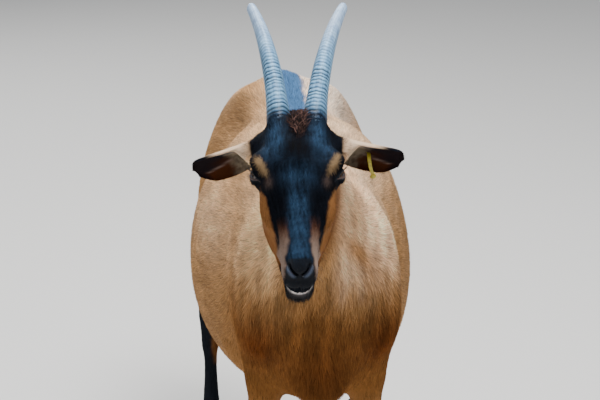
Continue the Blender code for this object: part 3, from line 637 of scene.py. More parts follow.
def face_colours(colour, points, r):
    """A black mask with a painted blue sheen of sky on it, tan brows, tan cheeks, a paler muzzle and
    a brown crown.
    """
    hx, s, n = r["h"].T
    side, face, stir, fine = np.abs(hx), np.clip(r["head"], 0, 1), r["stir"], r["fine"]
    edge = side + 0.0014 * stir + 0.0008 * fine
    strand = ripple(np.stack([hx, s * 0.16, n * 0.45], axis=1), 0.0042, 9)
    above_lip = n > mouth_line(s)
    colour = mix(colour, CHEEK, face * smooth(0.045, 0.070, s) * smooth(-0.125, -0.095, n))
    colour = mix(colour, RED_BROWN * 1.2, 0.75 * face * smooth(-0.085, -0.110, n) * (s > 0.02))
    colour = mix(colour, RED_BROWN, 0.55 * face * smooth(-0.048, -0.072, n) * smooth(0.110, 0.150, s))

    # Mask: how wide it is at each distance down the face, with a ring round each eye
    width = np.interp(s, [0.078, 0.092, 0.110, 0.137, 0.162, 0.180, 0.195, 0.215],
                      [0.090, 0.0520, 0.0430, 0.0380, 0.0306, 0.0275, 0.0300, 0.0340])
    mask = smooth(0.0020, -0.0016, edge - width) * smooth(-0.058, -0.044, n + 0.002 * stir)
    mask *= smooth(-0.020, -0.010, s)
    for _, one in SIDES:
        reach = np.linalg.norm(eye_local(points, one) * (0.9, 1, 1), axis=1)
        mask = np.maximum(mask, smooth(1.75, 1.40, reach + 0.10 * stir))
    chin_tip = smooth(0.178, 0.198, s + 0.003 * stir) * smooth(-0.091, -0.083, n)
    tip = np.where(above_lip, smooth(0.213, 0.219, s), chin_tip)
    colour = mix(colour, FACE_BLACK * (1 + 0.45 * strand)[:, None], np.maximum(mask, tip) * face)

    # Painted reflection: a blue sheen of sky down the nose and over the forehead
    sky_sheen = 0.72 * smooth(0.0210, 0.0070, edge + 0.0018 * fine) * smooth(0.080, 0.120, s)
    sky_sheen *= smooth(0.210, 0.185, s)
    for share, at_side, wide, at_s, long in ((0.75, 0.029, 0.012, 0.030, 0.028),
                                             (0.50, 0.040, 0.010, 0.048, 0.014),
                                             (0.60, 0.006, 0.017, 0.082, 0.017)):
        sky_sheen = np.maximum(sky_sheen, share * hill((side, at_side, wide), (s, at_s, long)))
    sky_sheen = np.clip(sky_sheen * (0.90 + 0.22 * fine + 0.60 * strand), 0, 1)
    colour = mix(colour, FACE_SKY_SHEEN, sky_sheen * face * smooth(-0.035, -0.015, n))
    colour *= (1 - 0.55 * face * hill((side, 0, 0.018), (s, 0.048, 0.026)))[:, None]

    brow = hill((side + 0.42 * (s - 0.069), 0.0475, 0.0070), (s, 0.0680, 0.0160))
    brow = smooth(0.25, 0.75, brow + 0.10 * stir + 0.10 * fine + 0.14 * strand)
    colour = mix(colour, PALE_TAN * (0.30, 0.265, 0.200), 0.88 * brow * face * smooth(-0.035, -0.018, n))
    colour = mix(colour, GREY_PINK, 0.40 * hill((side, 0.0395, 0.0050), (s, 0.0900, 0.0060)) * face)

    # Muzzle: a pale stripe on each side of the nose
    inner = np.interp(s, [0.135, 0.150, 0.170, 0.183, 0.192, 0.215],
                      [0.0140, 0.0148, 0.0152, 0.0168, 0.0188, 0.0205])
    outer = np.interp(s, [0.135, 0.166, 0.176, 0.186], [0.0300, 0.0270, 0.0290, 0.060])
    muzzle = smooth(-0.0026, 0.0034, edge - inner) * smooth(0.0012, -0.0012, edge - outer)
    muzzle *= smooth(0.134, 0.162, s + 0.005 * stir) * smooth(0.219, 0.212, s) * (n > mouth_line(s) + 0.002)
    shade = mix(RED_BROWN * 0.55 + GREY_PINK * 0.18, MUZZLE, smooth(0.146, 0.184, s + 0.004 * stir))
    colour = mix(colour, shade, 0.92 * muzzle * face)

    crown = hill((hx, 0.0035, 0.0095), (s, 0.010, 0.022)) * face
    curls = (0.85 + 1.9 * ripple(points, 0.0062, 14)).clip(0.12, 2.6)
    colour = mix(colour, CROWN * curls[:, None], smooth(0.25, 0.60, crown + 0.08 * stir))
    lower_lip = hill((s, 0.230, 0.016), (n, -0.0780, 0.0075), (hx, 0, 0.019)) * face
    colour = mix(colour, GREY_PINK * (0.56, 0.74, 0.88), 0.95 * lower_lip)
    chin = hill((s, 0.222, 0.026), (n, -0.0950, 0.0085), (hx, 0, 0.022)) * face
    return mix(colour, CREAM * (0.62, 0.58, 0.50), 0.75 * chin)


def ear_colours(colour, points, r, side):
    """One ear: pale behind, nearly black inside, grey hair at its root, a dark rim and tip, with a
    painted highlight on a fold, and painted light and a painted blue sheen of sky along the
    hollow's upper edge.
    """
    stir, fine = r["stir"], r["fine"]
    local = ear_local(points, side)
    along = np.clip(local[:, 0] / EAR_LENGTH, 0, 1)
    half = ear_half(along)
    above = side * local[:, 1] / half
    roll = np.interp(along, [0.0, 0.16, 0.34, 0.55, 0.72, 0.86], [-0.9, -0.30, 0.22, 0.52, 0.86, 1.25])
    inside = in_the_ear(local) * smooth(0.06, -0.06, above - roll + 0.05 * stir)
    rim = smooth(0.84, 0.95, np.abs(local[:, 1]) / half) * smooth(0.50, 0.70, along + 0.25 * (above < 0))
    rim = np.maximum(rim, smooth(0.86, 0.93, along + 0.01 * stir))
    behind = mix(PALE_TAN * (1.02, 1.04, 1.06), RED_BROWN * 2, 0.12 + 0.10 * stir)
    shade = mix(behind, FACE_BLACK, np.clip(rim, 0, 1))

    past_middle = 0.20 * smooth(0.90, 0.50, along)
    ear_hair = EAR_HAIR * (1 + 0.45 * fine)[:, None]
    brown_middle = hill((above, -0.10, 0.25)) * smooth(0.34, 0.46, along) * smooth(0.86, 0.60, along)
    hollow = mix(FACE_BLACK * 0.8 + RED_BROWN * 0.05, RED_BROWN * 0.36, 0.60 * brown_middle)
    root_hair = 0.85 * smooth(0.50, 0.36, along + 0.10 * stir)
    hollow = mix(hollow, EAR_HAIR * (1 + 0.35 * fine)[:, None], root_hair)
    hollow = mix(hollow, FACE_BLACK, 0.80 * hill((above, -0.35, 0.16), (along, 0.38, 0.050)))
    under = smooth(0.06, -0.06, above + 0.42 - past_middle)
    hollow = mix(hollow, RED_BROWN * 0.42, 0.85 * under * smooth(0.95, 0.85, along))
    hollow = mix(hollow, ear_hair * (1.25, 1.32, 1.32), 0.80 * smooth(0.60, 0.42, along + 0.08 * stir))
    # Paler hair along the upper edge of the hollow: partly its own colour, partly painted light on the edge
    hollow = mix(hollow, ear_hair * (3.3, 3.2, 3.0),
                 0.85 * smooth(0.55, 0.05, roll - above) * smooth(0.60, 0.40, along))
    # Painted highlight: a pale streak along a fold in the hollow
    fold = hill((above, -0.42 + past_middle, 0.050)) * smooth(0.45, 0.60, along)
    hollow = mix(hollow, GREY_PINK, 0.75 * fold * smooth(0.93, 0.86, along))
    # Painted reflection: a blue sheen of sky along the edge of the hollow
    edge = hill((above - roll, -0.06, 0.10)) * smooth(0.28, 0.36, along)
    hollow = mix(hollow, FACE_SKY_SHEEN * 0.6, 0.80 * edge)
    return mix(colour, mix(shade, hollow, inside), r["ear"] * (side * r["h"][:, 0] > 0))


def nape_height(y, z):
    """How far a point of the neck lies above its middle line."""
    return z - np.interp(y, [-0.522, -0.482, -0.427, -0.362, -0.290], [0.836, 0.812, 0.772, 0.735, 0.700])


# ---------------------------------------------------------------- skin
FLESH = ["head", "lower_jaw", "neck", "trunk", "tail", "udder"] + [
    part + "_" + word for part in ("foreleg_upper", "foreleg_lower", "hind_leg_upper", "hind_leg_lower")
    for word, _ in SIDES]
CLAWS = ["claw_{}_{}_{}".format(end, word, place) for end in ("front", "hind")
         for word, _ in SIDES for place in ("outer", "inner")]
SEAM_OVERLAP = 0.0007
SKIN_VOXEL = 0.0058
# Longest edges left in the skin's mesh, over the head and round the face's small features
HEAD_EDGE, FEATURE_EDGE = 0.0030, 0.0013
EAR_COAT = 0.0009
RIB_SPACING = 0.036
# How far each foot's middle stands from her own
FORE_X, HIND_X = 0.078, 0.134


def node_copy(name, grow_by=0.0):
    """A copy of a CAD node's mesh with its doubles merged, pushed out by that much."""
    mesh = frame["nodes"][name].data.copy()
    with edit(mesh) as bm:
        bmesh.ops.remove_doubles(bm, verts=bm.verts, dist=0.00001)
        bm.normal_update()
        if grow_by:
            for v, step in [(v, v.normal * grow_by) for v in bm.verts]:
                v.co += step
    mesh.materials.clear()
    return new_object("copy_" + name, mesh)


def plugs():
    """Small solids that fill the sockets of eyes, horns, ears and dewclaws, the mouth, and the
    tops of the hooves, so that the skin runs through under them."""
    found = []
    for word, side in SIDES:
        found.append(ellipsoid("plug", middle("eye_" + word), (EYE_RADIUS * 0.96,) * 3))
        found.append(ellipsoid("plug", on_head(side * 0.042, 0.028, -0.052), (0.020,) * 3))
        rings = [ring_at(point, right, up, 0.0168, 0.0223, 0.0203, 24)
                 for point, right, up in frames_along(horn_line(side, 61)[:10], AXES[:, 2])]
        found.append(tube("plug", rings))
        for end in ("front", "hind"):
            for place in ("outer", "inner"):
                spot = middle("dewclaw_{}_{}_{}".format(end, word, place)) + (0, -0.0095, 0.004)
                found.append(ellipsoid("plug", spot, (0.0080, 0.0090, 0.0090)))
    for name in CLAWS:
        spot = middle(name) + (0, 0.005, 0.004)
        found.append(ellipsoid("plug", spot, (0.0085, 0.020, 0.016)))
    found.append(ellipsoid("plug", on_head(0, 0.190, -0.0635), (0.0205, 0.040, 0.007)))
    found.append(ellipsoid("plug", on_head(0, 0.160, -0.0620), (0.028, 0.025, 0.007)))
    return found


def ear_solid(side):
    """The ear's scoop, thinner than its solid by the coat, with folds in its hollow."""
    place, rings = ear_frame(side), []
    for at, half, depth in through(EAR_ROWS, 9)[:-1]:
        hollow = float(smooth(0.18, 0.44, at))
        outer_half, outer_depth = half - EAR_COAT, depth - EAR_COAT
        inner_half = half - EAR_WALL * 0.30 - EAR_COAT * 0.5
        inner_depth = max(depth - EAR_WALL + EAR_COAT, 0.0004) * hollow - (1 - hollow) * half * 0.70
        bend = -EAR_BEND * at * at
        ring = [(outer_half * math.cos(a), -outer_depth * math.sin(a))
                for a in np.linspace(0, math.pi, 31)]
        for a in np.linspace(math.pi, 0, 27):
            fold = 0.0011 * hollow * math.sin(a * 7) * math.sin(a) * (1 - at) * 1.6
            ring.append((inner_half * math.cos(a), (-inner_depth + fold) * math.sin(a) + EAR_WALL * 0.12))
        low = float(ear_low(at, side))
        rings.append([place @ Vector((at * EAR_LENGTH, across - low, up + bend)) for across, up in ring])
    return tube("ear", rings)


def coat_depth(points):
    """How far the coat's tips stand off the skin."""
    r = regions(points)
    depth = np.full(len(points), 0.0042)
    for share, value in ((r["neck"], 0.0036), (r["head"], 0.0013), (r["ear"], 0.0), (r["fore"], 0.0020),
                         (r["hind"], 0.0020), (r["tail"], 0.0045), (r["udder"], 0.0006)):
        depth = depth * (1 - share) + value * share
    return depth * smooth(0.028, 0.10, r["z"])


def body_forms(points):
    """Muscles, joints and hollows of the body, as a distance out of the skin."""
    x, y, z = to_body(points).T
    side = np.abs(x)
    flank = smooth(0.050, 0.085, side)
    # Flank: the hollow under the loin and the fold before the stifle
    out = -0.0095 * hill((y, 0.178, 0.042), (z, 0.665, 0.036)) * flank
    out -= 0.0070 * hill((y, 0.198, 0.026), (z, 0.500, 0.050)) * flank
    # Shoulder: the groove and the hollow behind it, the groove before it, and the upper arm
    out -= 0.0045 * hill((y - 0.30 * (z - 0.55), -0.195, 0.020), (z, 0.56, 0.095)) * flank
    out -= 0.0050 * hill((y, -0.200, 0.022), (z, 0.450, 0.028)) * smooth(0.04, 0.06, side)
    out -= 0.0045 * hill((y - 0.45 * (z - 0.60), -0.352, 0.014), (z, 0.62, 0.060)) * smooth(0.03, 0.06, side)
    out += 0.0030 * hill((y - 0.25 * (z - 0.55), -0.262, 0.030), (z, 0.545, 0.060)) * flank
    # Thigh: the grooves before and behind it
    out -= 0.0040 * hill((y - 0.10 * (z - 0.5), 0.224, 0.024), (z, 0.520, 0.075)) * flank
    out -= 0.0035 * hill((y - 0.25 * (z - 0.55), 0.372, 0.012), (z, 0.560, 0.070)) * smooth(0.05, 0.08, side)
    # The groove down the breast, the ribs, and the groove under the tail
    out -= 0.0050 * hill((x, 0, 0.020), (y, -0.385, 0.03), (z, 0.545, 0.080))
    ribs = np.sin((y + 0.12 * (0.6 - z)) * 2 * math.pi / RIB_SPACING)
    out += 0.0005 * ribs * hill((y, -0.02, 0.10), (z, 0.545, 0.085)) * flank
    out -= 0.0060 * hill((x, 0, 0.022), (y, 0.430, 0.03), (z, 0.585, 0.060))
    # Legs: the knee, the grooves before the tendons, the hock, and the cleft above the claws
    fore, hind = y < -0.10, y > 0.30
    leg_x = (side - FORE_X) * fore + (side - HIND_X) * hind
    beside = smooth(0.006, 0.012, np.abs(leg_x))
    out += fore * 0.0018 * hill((z, 0.268, 0.018), (y, -0.278, 0.014))
    out -= fore * 0.0022 * hill((z, 0.185, 0.050), (y, -0.246, 0.004)) * beside
    out -= hind * 0.0022 * hill((z, 0.190, 0.050), (y, 0.4035, 0.004)) * beside
    out -= hind * 0.0055 * hill((z, 0.355, 0.030), (y, 0.385, 0.012)) * smooth(0.0, 0.006, np.abs(leg_x))
    out += hind * 0.0020 * hill((z, 0.300, 0.014), (y, 0.428, 0.012))
    out += hind * 0.0012 * hill((z, 0.290, 0.012), (y, 0.385, 0.012))
    for foot_y in (-0.286, 0.348):
        near = np.abs(y - foot_y) < 0.07
        in_front = smooth(foot_y + 0.010, foot_y - 0.005, y)
        out -= near * 0.0045 * hill((leg_x, 0, 0.0035)) * smooth(0.075, 0.045, z) * in_front
    return out


def shape_lids(points):
    """Wraps the skin over each eyeball as two lids with an opening between."""
    for _, side in SIDES:
        local = eye_local(points, side)
        reach = np.linalg.norm(local, axis=1)
        way = unit(local)
        hold = smooth(1.32, 0.90, np.arccos(np.clip(way[:, 2], -1, 1))) * smooth(2.1, 1.7, reach)
        # Points close to a lid's edge are drawn onto it
        gap = lid_gap(local)
        near = (np.abs(gap) < 0.055) & (hold > 0.5)
        way[:, 1] += np.where(near, np.where(way[:, 1] > 0.05, gap, -gap), 0)
        gap = np.where(near, 0, gap)
        on_upper = 0.10 * smooth(-0.34, -0.60, gap) - 0.060 * hill((gap, -0.30, 0.09))
        on_lower = 0.03 * smooth(-0.20, -0.45, gap)
        thick = 1.085 + 0.045 * hill((gap, -0.03, 0.10)) + np.where(way[:, 1] > 0, on_upper, on_lower)
        reach = reach * (1 - hold) + np.where(gap > 0.01, 0.90, thick) * hold
        placed = from_eye(unit(way) * reach[:, None] * EYE_RADIUS, side)
        points = np.where((hold > 0)[:, None], placed, points)
    return points


def mouth_line(s):
    """The n at which the lips meet, at a distance down the face."""
    return np.interp(s, [0.150, 0.175, 0.200, 0.214, 0.222, 0.232],
                     [-0.0605, -0.0622, -0.0625, -0.0628, -0.0640, -0.0665])


def face_forms(points):
    """Nostrils, lips, mouth, brow and cheek, as a distance out of the skin."""
    x, s, n = to_head(points).T
    side = np.abs(x)
    out = 0.0030 * hill((x, 0, 0.020), (s, 0.050, 0.030)) * smooth(-0.03, 0.0, n)
    out -= 0.0016 * hill((x, 0, 0.009), (s, 0.085, 0.022)) * smooth(-0.02, 0.0, n)
    out -= 0.0018 * hill((side, 0.030, 0.007), (s, 0.125, 0.030)) * smooth(-0.045, -0.02, n)
    out -= 0.0022 * hill((side, 0.040, 0.010), (s, 0.150, 0.024), (n, -0.048, 0.012))
    out -= 0.0050 * hill((s, 0.180, 0.024), (n, -0.066, 0.024)) * smooth(0.014, 0.024, side)
    # Mouth: a cleft that widens to the front, between two swollen lips
    gap = n - mouth_line(s)
    along = smooth(0.168, 0.190, s)
    down = [0.15, 0.19, 0.210, 0.230]
    width = np.interp(s, down, [0.0012, 0.0015, 0.0026, 0.0046])
    depth = np.interp(s, down, [0.0010, 0.0020, 0.0034, 0.0040])
    out -= along * depth * hill((gap, 0, width))
    out += along * 0.0012 * (hill((gap, 0.0068, 0.0030)) + hill((gap, -0.0068, 0.0028)))
    # Nostrils: a slanting comma on each side, deepest at its inner lower end
    u, v = nostril_uv(x, s, n)
    wide = 0.0013 + 0.0010 * smooth(0.0, -0.009, u)
    out -= 0.0058 * hill((v, 0, wide)) * smooth(-0.0115, -0.0080, u) * smooth(0.0120, 0.0080, u)
    rim = smooth(-0.011, -0.004, u)
    out += 0.0016 * hill((v, 0.0042, 0.0022)) * rim * smooth(0.013, 0.007, u)
    out += 0.0008 * hill((v, -0.0040, 0.0022)) * rim * smooth(0.010, 0.004, u)
    # Groove of the upper lip, below the nose
    groove = hill((x, 0, 0.0014)) * smooth(0.210, 0.218, s)
    out -= 0.0022 * groove * smooth(-0.064, -0.058, n) * smooth(-0.018, -0.026, n)
    return out


def nostril_uv(x, s, n):
    """Along and across each nostril's slit, from its middle, in metres. Along runs up and out,
    across is above 0 on the outer side."""
    offset = np.stack([np.abs(x), s, n], axis=-1) - NOSTRIL
    along = unit(np.array((0.58, -0.76, 0.26)))
    facing = np.array((0.15, 0.52, 0.84))
    facing = unit(facing - along * (facing @ along))
    across = np.cross(facing, along)
    across = across * np.sign(across[0])
    u = offset @ along
    return u, offset @ across + 14.0 * u**2 - 0.0006


def build_skin():
    """The whole skin as one mesh, inside the solids by the depth of the coat."""
    skin = joined([node_copy(name, SEAM_OVERLAP) for name in FLESH] + plugs())
    skin.name = "skin"
    remeshed(skin, SKIN_VOXEL)
    keep_largest(skin.data)
    _, y, z = to_body(points_of(skin.data)).T
    trunk = np.prod([np.clip(share, 0, 1) for share in (
        (z - 0.41) / 0.05, (y + 0.455) / 0.05, (0.455 - y) / 0.03)], axis=0)
    relax(skin.data, (0.5,) * 64, trunk)
    relax(skin.data, (0.55, -0.57) * 12)
    points = points_of(skin.data)
    points += normals_of(skin.data) * (body_forms(points) - coat_depth(points))[:, None]
    put_points(skin.data, points)
    for _, side in SIDES:
        ear = ear_solid(side)
        step = skin.modifiers.new("ear", "BOOLEAN")
        step.operation, step.solver, step.object = "UNION", "EXACT", ear
        applied(skin)
        bpy.data.objects.remove(ear)
    refine_head(skin.data)
    form_head(skin.data)
    skin.data.shade_smooth()
    return skin


def form_head(mesh):
    """Smooths the ears' roots, the head and the cheeks, then gives the head its face and lids."""
    points = points_of(mesh)
    roots = [np.array(ear_frame(side) @ Vector((0.018, 0, 0))) for _, side in SIDES]
    from_root = np.minimum(*(np.linalg.norm(points - root, axis=1) for root in roots))
    relax(mesh, (0.5,) * 10, smooth(0.026, 0.012, from_root))
    x, s, n = to_head(points_of(mesh)).T
    relax(mesh, (0.5, -0.52) * 6, smooth(-0.5, -0.47, -to_body(points)[:, 1]) * (np.abs(x) < 0.075))
    cheeks = smooth(0.070, 0.090, s) * smooth(0.190, 0.170, s) * smooth(0.0, -0.020, n)
    relax(mesh, (0.5,) * 34, cheeks * smooth(0.012, 0.024, np.abs(x)))
    points = points_of(mesh)
    points += normals_of(mesh) * (face_forms(points) * smooth(-0.03, 0.02, s))[:, None]
    put_points(mesh, shape_lids(points))


def keep_largest(mesh):
    """Keeps the largest piece of a mesh."""
    a, b = edges_of(mesh).T
    total = len(mesh.vertices)
    label = np.arange(total)
    while True:
        lowest = np.minimum(label[a], label[b])
        new = label.copy()
        np.minimum.at(new, a, lowest)
        np.minimum.at(new, b, lowest)
        new = new[new]
        if (new == label).all():
            break
        label = new
    keep = np.bincount(label, minlength=total).argmax()
    if (label == keep).all():
        return
    with edit(mesh) as bm:
        bm.verts.ensure_lookup_table()
        loose = [bm.verts[i] for i in np.flatnonzero(label != keep)]
        bmesh.ops.delete(bm, geom=loose, context="VERTS")


def on_the_head(points):
    return (to_body(points)[:, 1] < -0.455) & (np.abs(to_head(points)[:, 0]) < 0.078)


def at_a_feature(points):
    """Places round the eyes, the nose and the mouth."""
    x, s, n = to_head(points).T
    side = np.abs(x)
    eyes = np.minimum(*(np.linalg.norm(eye_local(points, one), axis=1) for _, one in SIDES))
    nose = (s > 0.186) & (s < 0.27) & (side < 0.04)
    mouth = (s > 0.150) & (np.abs(n - mouth_line(s)) < 0.008) & (side < 0.05)
    return (eyes < 1.9) | nose | mouth


def refine_head(mesh):
    """Finer faces over the head, then finer still round the eyes, the nose and the mouth."""
    for limit, test in ((HEAD_EDGE, on_the_head), (FEATURE_EDGE, at_a_feature)):
        points = points_of(mesh)
        inside = test(points)
        a, b = edges_of(mesh).T
        long = np.linalg.norm(points[a] - points[b], axis=1) > limit
        chosen = np.flatnonzero(inside[a] & inside[b] & long)
        with edit(mesh) as bm:
            bm.edges.ensure_lookup_table()
            bmesh.ops.subdivide_edges(bm, edges=[bm.edges[i] for i in chosen], cuts=1, use_grid_fill=True)
            bmesh.ops.triangulate(bm, faces=[f for f in bm.faces if len(f.verts) > 4])


def horn_line(side, count):
    """Middle line of a horn: up past the poll, then sweeping back and a little out."""
    point = Vector((side * HORN_BASE[0], HORN_BASE[1], HORN_BASE[2]))
    points = []
    for i in range(count):
        points.append(on_head(*point))
        t = i / (count - 1)
        back = math.radians(4.3 + 34.3 * t)
        out = math.radians(2.3 + 15 * t) + side * HORN_LEAN
        ahead = Vector((side * math.sin(out), -math.cos(back) * math.cos(out),
                        -math.sin(back) * math.cos(out)))
        point = point + ahead * (HORN_LENGTH / (count - 1))
    return points


# ---------------------------------------------------------------- coat
# Size of the waves in which the hair's lie wanders, and the most triangles that a piece may have
HAIR_WAVE = 0.045
PIECE_LIMIT = 200000
# How deep a hair's root stands in the skin
ROOT_SINK = 0.0005
# How light a lock is at its root, its knee and its tip
LOCK_SHADES = (0.80, 1.00, 1.16)


def lie_of_coat(points, normals):
    """Which way the hair lies at each root: along the skin, from head to tail and downwards."""
    r = regions(points)
    y, z, (hx, s, n) = r["y"], r["z"], r["h"].T
    total = len(points)

    def blend(base, way, share):
        way = np.broadcast_to(np.asarray(way, float), (total, 3))
        return base * (1 - share[:, None]) + unit(way) * share[:, None]

    way = np.tile(unit(np.array((0, 1.0, -0.42))), (total, 1))
    for lie, share in (
            ((0, 1.0, -0.05), smooth(0.66, 0.74, z)),
            ((0, 0.55, -1.0), smooth(0.22, 0.34, y) * smooth(0.72, 0.62, z)),
            ((0, 0.10, -1.0), smooth(0.60, 0.48, z) * smooth(0.20, 0.28, y)),
            ((0, 0.9, -0.25), smooth(0.40, 0.34, z) * (np.abs(y) < 0.2)),
            ((0, 0.35, -1.0), smooth(-0.16, -0.25, y) * smooth(0.62, 0.52, z)),
            ((0, 0.10, -1.0), smooth(-0.30, -0.36, y) * smooth(0.66, 0.58, z)),
            ((0, 0.75, -0.72), r["neck"]),
            ((0, 0.05, -1.0), np.maximum(r["fore"], r["hind"])),
            ((0, 0.55, -1.0), r["tail"])):
        way = blend(way, lie, share)
    # Head: up to the crown above a whorl between the eyes, down the nose, back along the cheeks
    beside_middle = np.abs(hx)
    outward = np.sign(hx) * smooth(0.0, 0.03, beside_middle) * 0.30
    up_face = np.stack([outward, -np.ones(total), np.full(total, -0.25)], axis=1)
    down_face = np.stack([outward * 0.6, np.ones(total), np.zeros(total)], axis=1)
    cheek = np.stack([outward, np.full(total, 0.10), -np.ones(total)], axis=1)
    on_face = mix(up_face, down_face, smooth(0.045, 0.075, s))
    on_face = mix(on_face, cheek, smooth(-0.030, -0.060, n) * smooth(0.19, 0.12, s))
    temple = smooth(0.038, 0.052, beside_middle) * smooth(0.15, 0.10, s)
    on_face = mix(on_face, np.array((0, -0.15, -1.0)), 0.7 * temple)
    way = blend(way, on_face @ AXES.T, r["head"])
    for _, side in SIDES:
        place = np.array(ear_frame(side))
        spread = ear_local(points, side)[:, 1] * 12
        way = blend(way, place[:3, 0] + spread[:, None] * place[:3, 1], r["ear"] * (side * hx > 0))
    wander = np.stack([ripple(points, HAIR_WAVE, seed) for seed in (11, 12, 13)], axis=1)
    way = unit(way) + 0.10 * wander
    way -= normals * (way * normals).sum(axis=1, keepdims=True)
    return unit(way)


def hair_sizes(r, points):
    """Length, width, rise of the tip and how many to a square metre, a row of each."""
    x, y, z, (hx, s, n) = r["x"], r["y"], r["z"], r["h"].T
    head, ear = r["head"], r["ear"]
    ear_tip = np.maximum(*(smooth(0.80, 0.92, ear_local(points, side)[:, 0] / EAR_LENGTH)
                           for _, side in SIDES))
    pastern = smooth(0.22, 0.14, z) * smooth(0.030, 0.040, z + 0.02)
    buttock = hill((y, 0.40, 0.045)) * smooth(0.66, 0.60, z) * smooth(0.40, 0.46, z)
    jaw = smooth(-0.055, -0.080, n) * smooth(0.02, 0.05, s)
    crown = smooth(0.25, 0.55, hill((hx, 0.0035, 0.0100), (s, 0.006, 0.025)))
    horn_root = hill((np.abs(hx), HORN_BASE[0] + 0.002, 0.012), (s, 0.004, 0.011)) * smooth(-0.040, -0.025, n)
    size = np.tile((COAT_LENGTH, 0.00125, 0.0028, 168000), (len(points), 1))
    for share, there in (
            (smooth(0.38, 0.34, z) * (np.abs(y) < 0.25), (0.020, 0.00125, 0.0036, 150000)),
            (smooth(-0.30, -0.36, y) * smooth(0.66, 0.56, z), (0.019, 0.00125, 0.0038, 165000)),
            (buttock, (0.021, 0.0012, 0.0038, 165000)),
            (hill((x, 0, 0.030)) * smooth(0.66, 0.70, z), (0.018, 0.0012, 0.0034, 190000)),
            (r["neck"], (0.0150, 0.00115, 0.0029, 200000)),
            (r["fore"], (0.0095, 0.00105, 0.0016, 260000)),
            (r["hind"], (0.0095, 0.00105, 0.0016, 260000)),
            (pastern, (0.0068, 0.00095, 0.0011, 330000)),
            (r["tail"], (0.026, 0.00120, 0.0050, 420000)),
            (head, (0.0062, 0.00080, 0.0011, 560000)),
            (head * smooth(0.13, 0.195, s), (0.0042, 0.00068, 0.0007, 700000)),
            (head * jaw, (0.0090, 0.00085, 0.0019, 420000)),
            (head * hill((s, 0.224, 0.016), (n, -0.086, 0.010)), (0.0130, 0.00070, 0.0040, 500000)),
            (ear, (0.0062, 0.00075, 0.0007, 480000)),
            (head * crown, (0.0098, 0.00140, 0.0090, 640000)),
            (ear * ear_tip, (0.0032, 0.00070, 0.0004, 700000)),
            (head * smooth(0.20, 0.60, horn_root), (0.0125, 0.00085, 0.0032, 520000)),
            (r["udder"], (0.0060, 0.00070, 0.0012, 60000))):
        size = mix(size, np.array(there), share)
    return size.T


def roots_on(skin):
    """Evenly spread roots of the hair: place, normal and place on the skin's unwrap."""
    mesh = skin.data
    mesh.calc_loop_triangles()
    corners = read(mesh.loop_triangles, "vertices", 3, np.int32)
    loops = read(mesh.loop_triangles, "loops", 3, np.int32)
    points, normals = points_of(mesh), normals_of(mesh)
    a, b, c = (points[corners[:, k]] for k in range(3))
    area = np.linalg.norm(np.cross(b - a, c - a), axis=1) / 2
    middles = (a + b + c) / 3
    wanted = hair_sizes(regions(middles), middles)[3] * area * settings().coat_density
    wanted *= 1 - bare(points)[corners].mean(axis=1)
    total = np.cumsum(wanted)
    number = int(total[-1])
    k = np.arange(number)
    chosen = np.searchsorted(total, (k + 0.5) * total[-1] / number)
    # Even steps of two irrational numbers spread the roots over each face
    u, v = (k * 0.7548776662) % 1, (k * 0.5698402910) % 1
    flip = u + v > 1
    u, v = np.where(flip, 1 - u, u), np.where(flip, 1 - v, v)
    weights = np.stack([1 - u - v, u, v], axis=1)[:, :, None]
    uv = read(mesh.uv_layers["OFBake"].data, "uv", 2)

    def at_roots(values, where):
        return (values[where[chosen]] * weights).sum(axis=1)

    return at_roots(points, corners), unit(at_roots(normals, corners)), at_roots(uv, loops)


def nose_pad(x, s, n):
    """1 on the bare black pad of the nose."""
    edge = np.abs(x) + 0.20 * np.maximum(0.212 - s, 0)
    return smooth(0.0200, 0.0180, edge) * smooth(0.1925, 0.1965, s) * smooth(-0.056, -0.050, n)


def bare(points):
    """1 where no hair grows: the eyes and lid edges, nostrils, lips, under horns and hooves."""
    r = regions(points)
    h, z = r["h"], r["z"]
    x, s, n = h.T
    none = np.zeros(len(points))
    for _, side in SIDES:
        local = eye_local(points, side)
        reach = np.linalg.norm(local, axis=1)
        none = np.maximum(none, smooth(-0.16, -0.10, lid_gap(local)) * (reach < 1.5))
        inside = in_the_ear(ear_local(points, side))
        none = np.maximum(none, 0.72 * inside * r["ear"] * (side * x > 0))
        for point in horn_line(side, 61)[:11]:
            from_horn = np.linalg.norm(points - np.array(point), axis=1)
            none = np.maximum(none, smooth(0.0160, 0.0150, from_horn))
    u, v = nostril_uv(x, s, n)
    none = np.maximum(none, (np.abs(v) < 0.0040) * (np.abs(u) < 0.0130) * (s > 0.18) * (np.abs(x) < 0.03))
    none = np.maximum(none, nose_pad(x, s, n) * r["head"])
    lips = hill((n, mouth_line(s), 0.0045)) * smooth(0.150, 0.160, s) * (np.abs(x) < 0.045)
    none = np.maximum(none, np.clip(lips * 1.4, 0, 1) * r["head"])
    none = np.maximum(none, smooth(0.024, 0.018, z))
    for name in CLAWS:
        from_top = np.linalg.norm((points - middle(name) - (0, 0.004, 0.012)) * (1, 0.72, 1), axis=1)
        none = np.maximum(none, smooth(0.018, 0.014, from_top) * (z < 0.040))
    return np.clip(none, 0, 1)


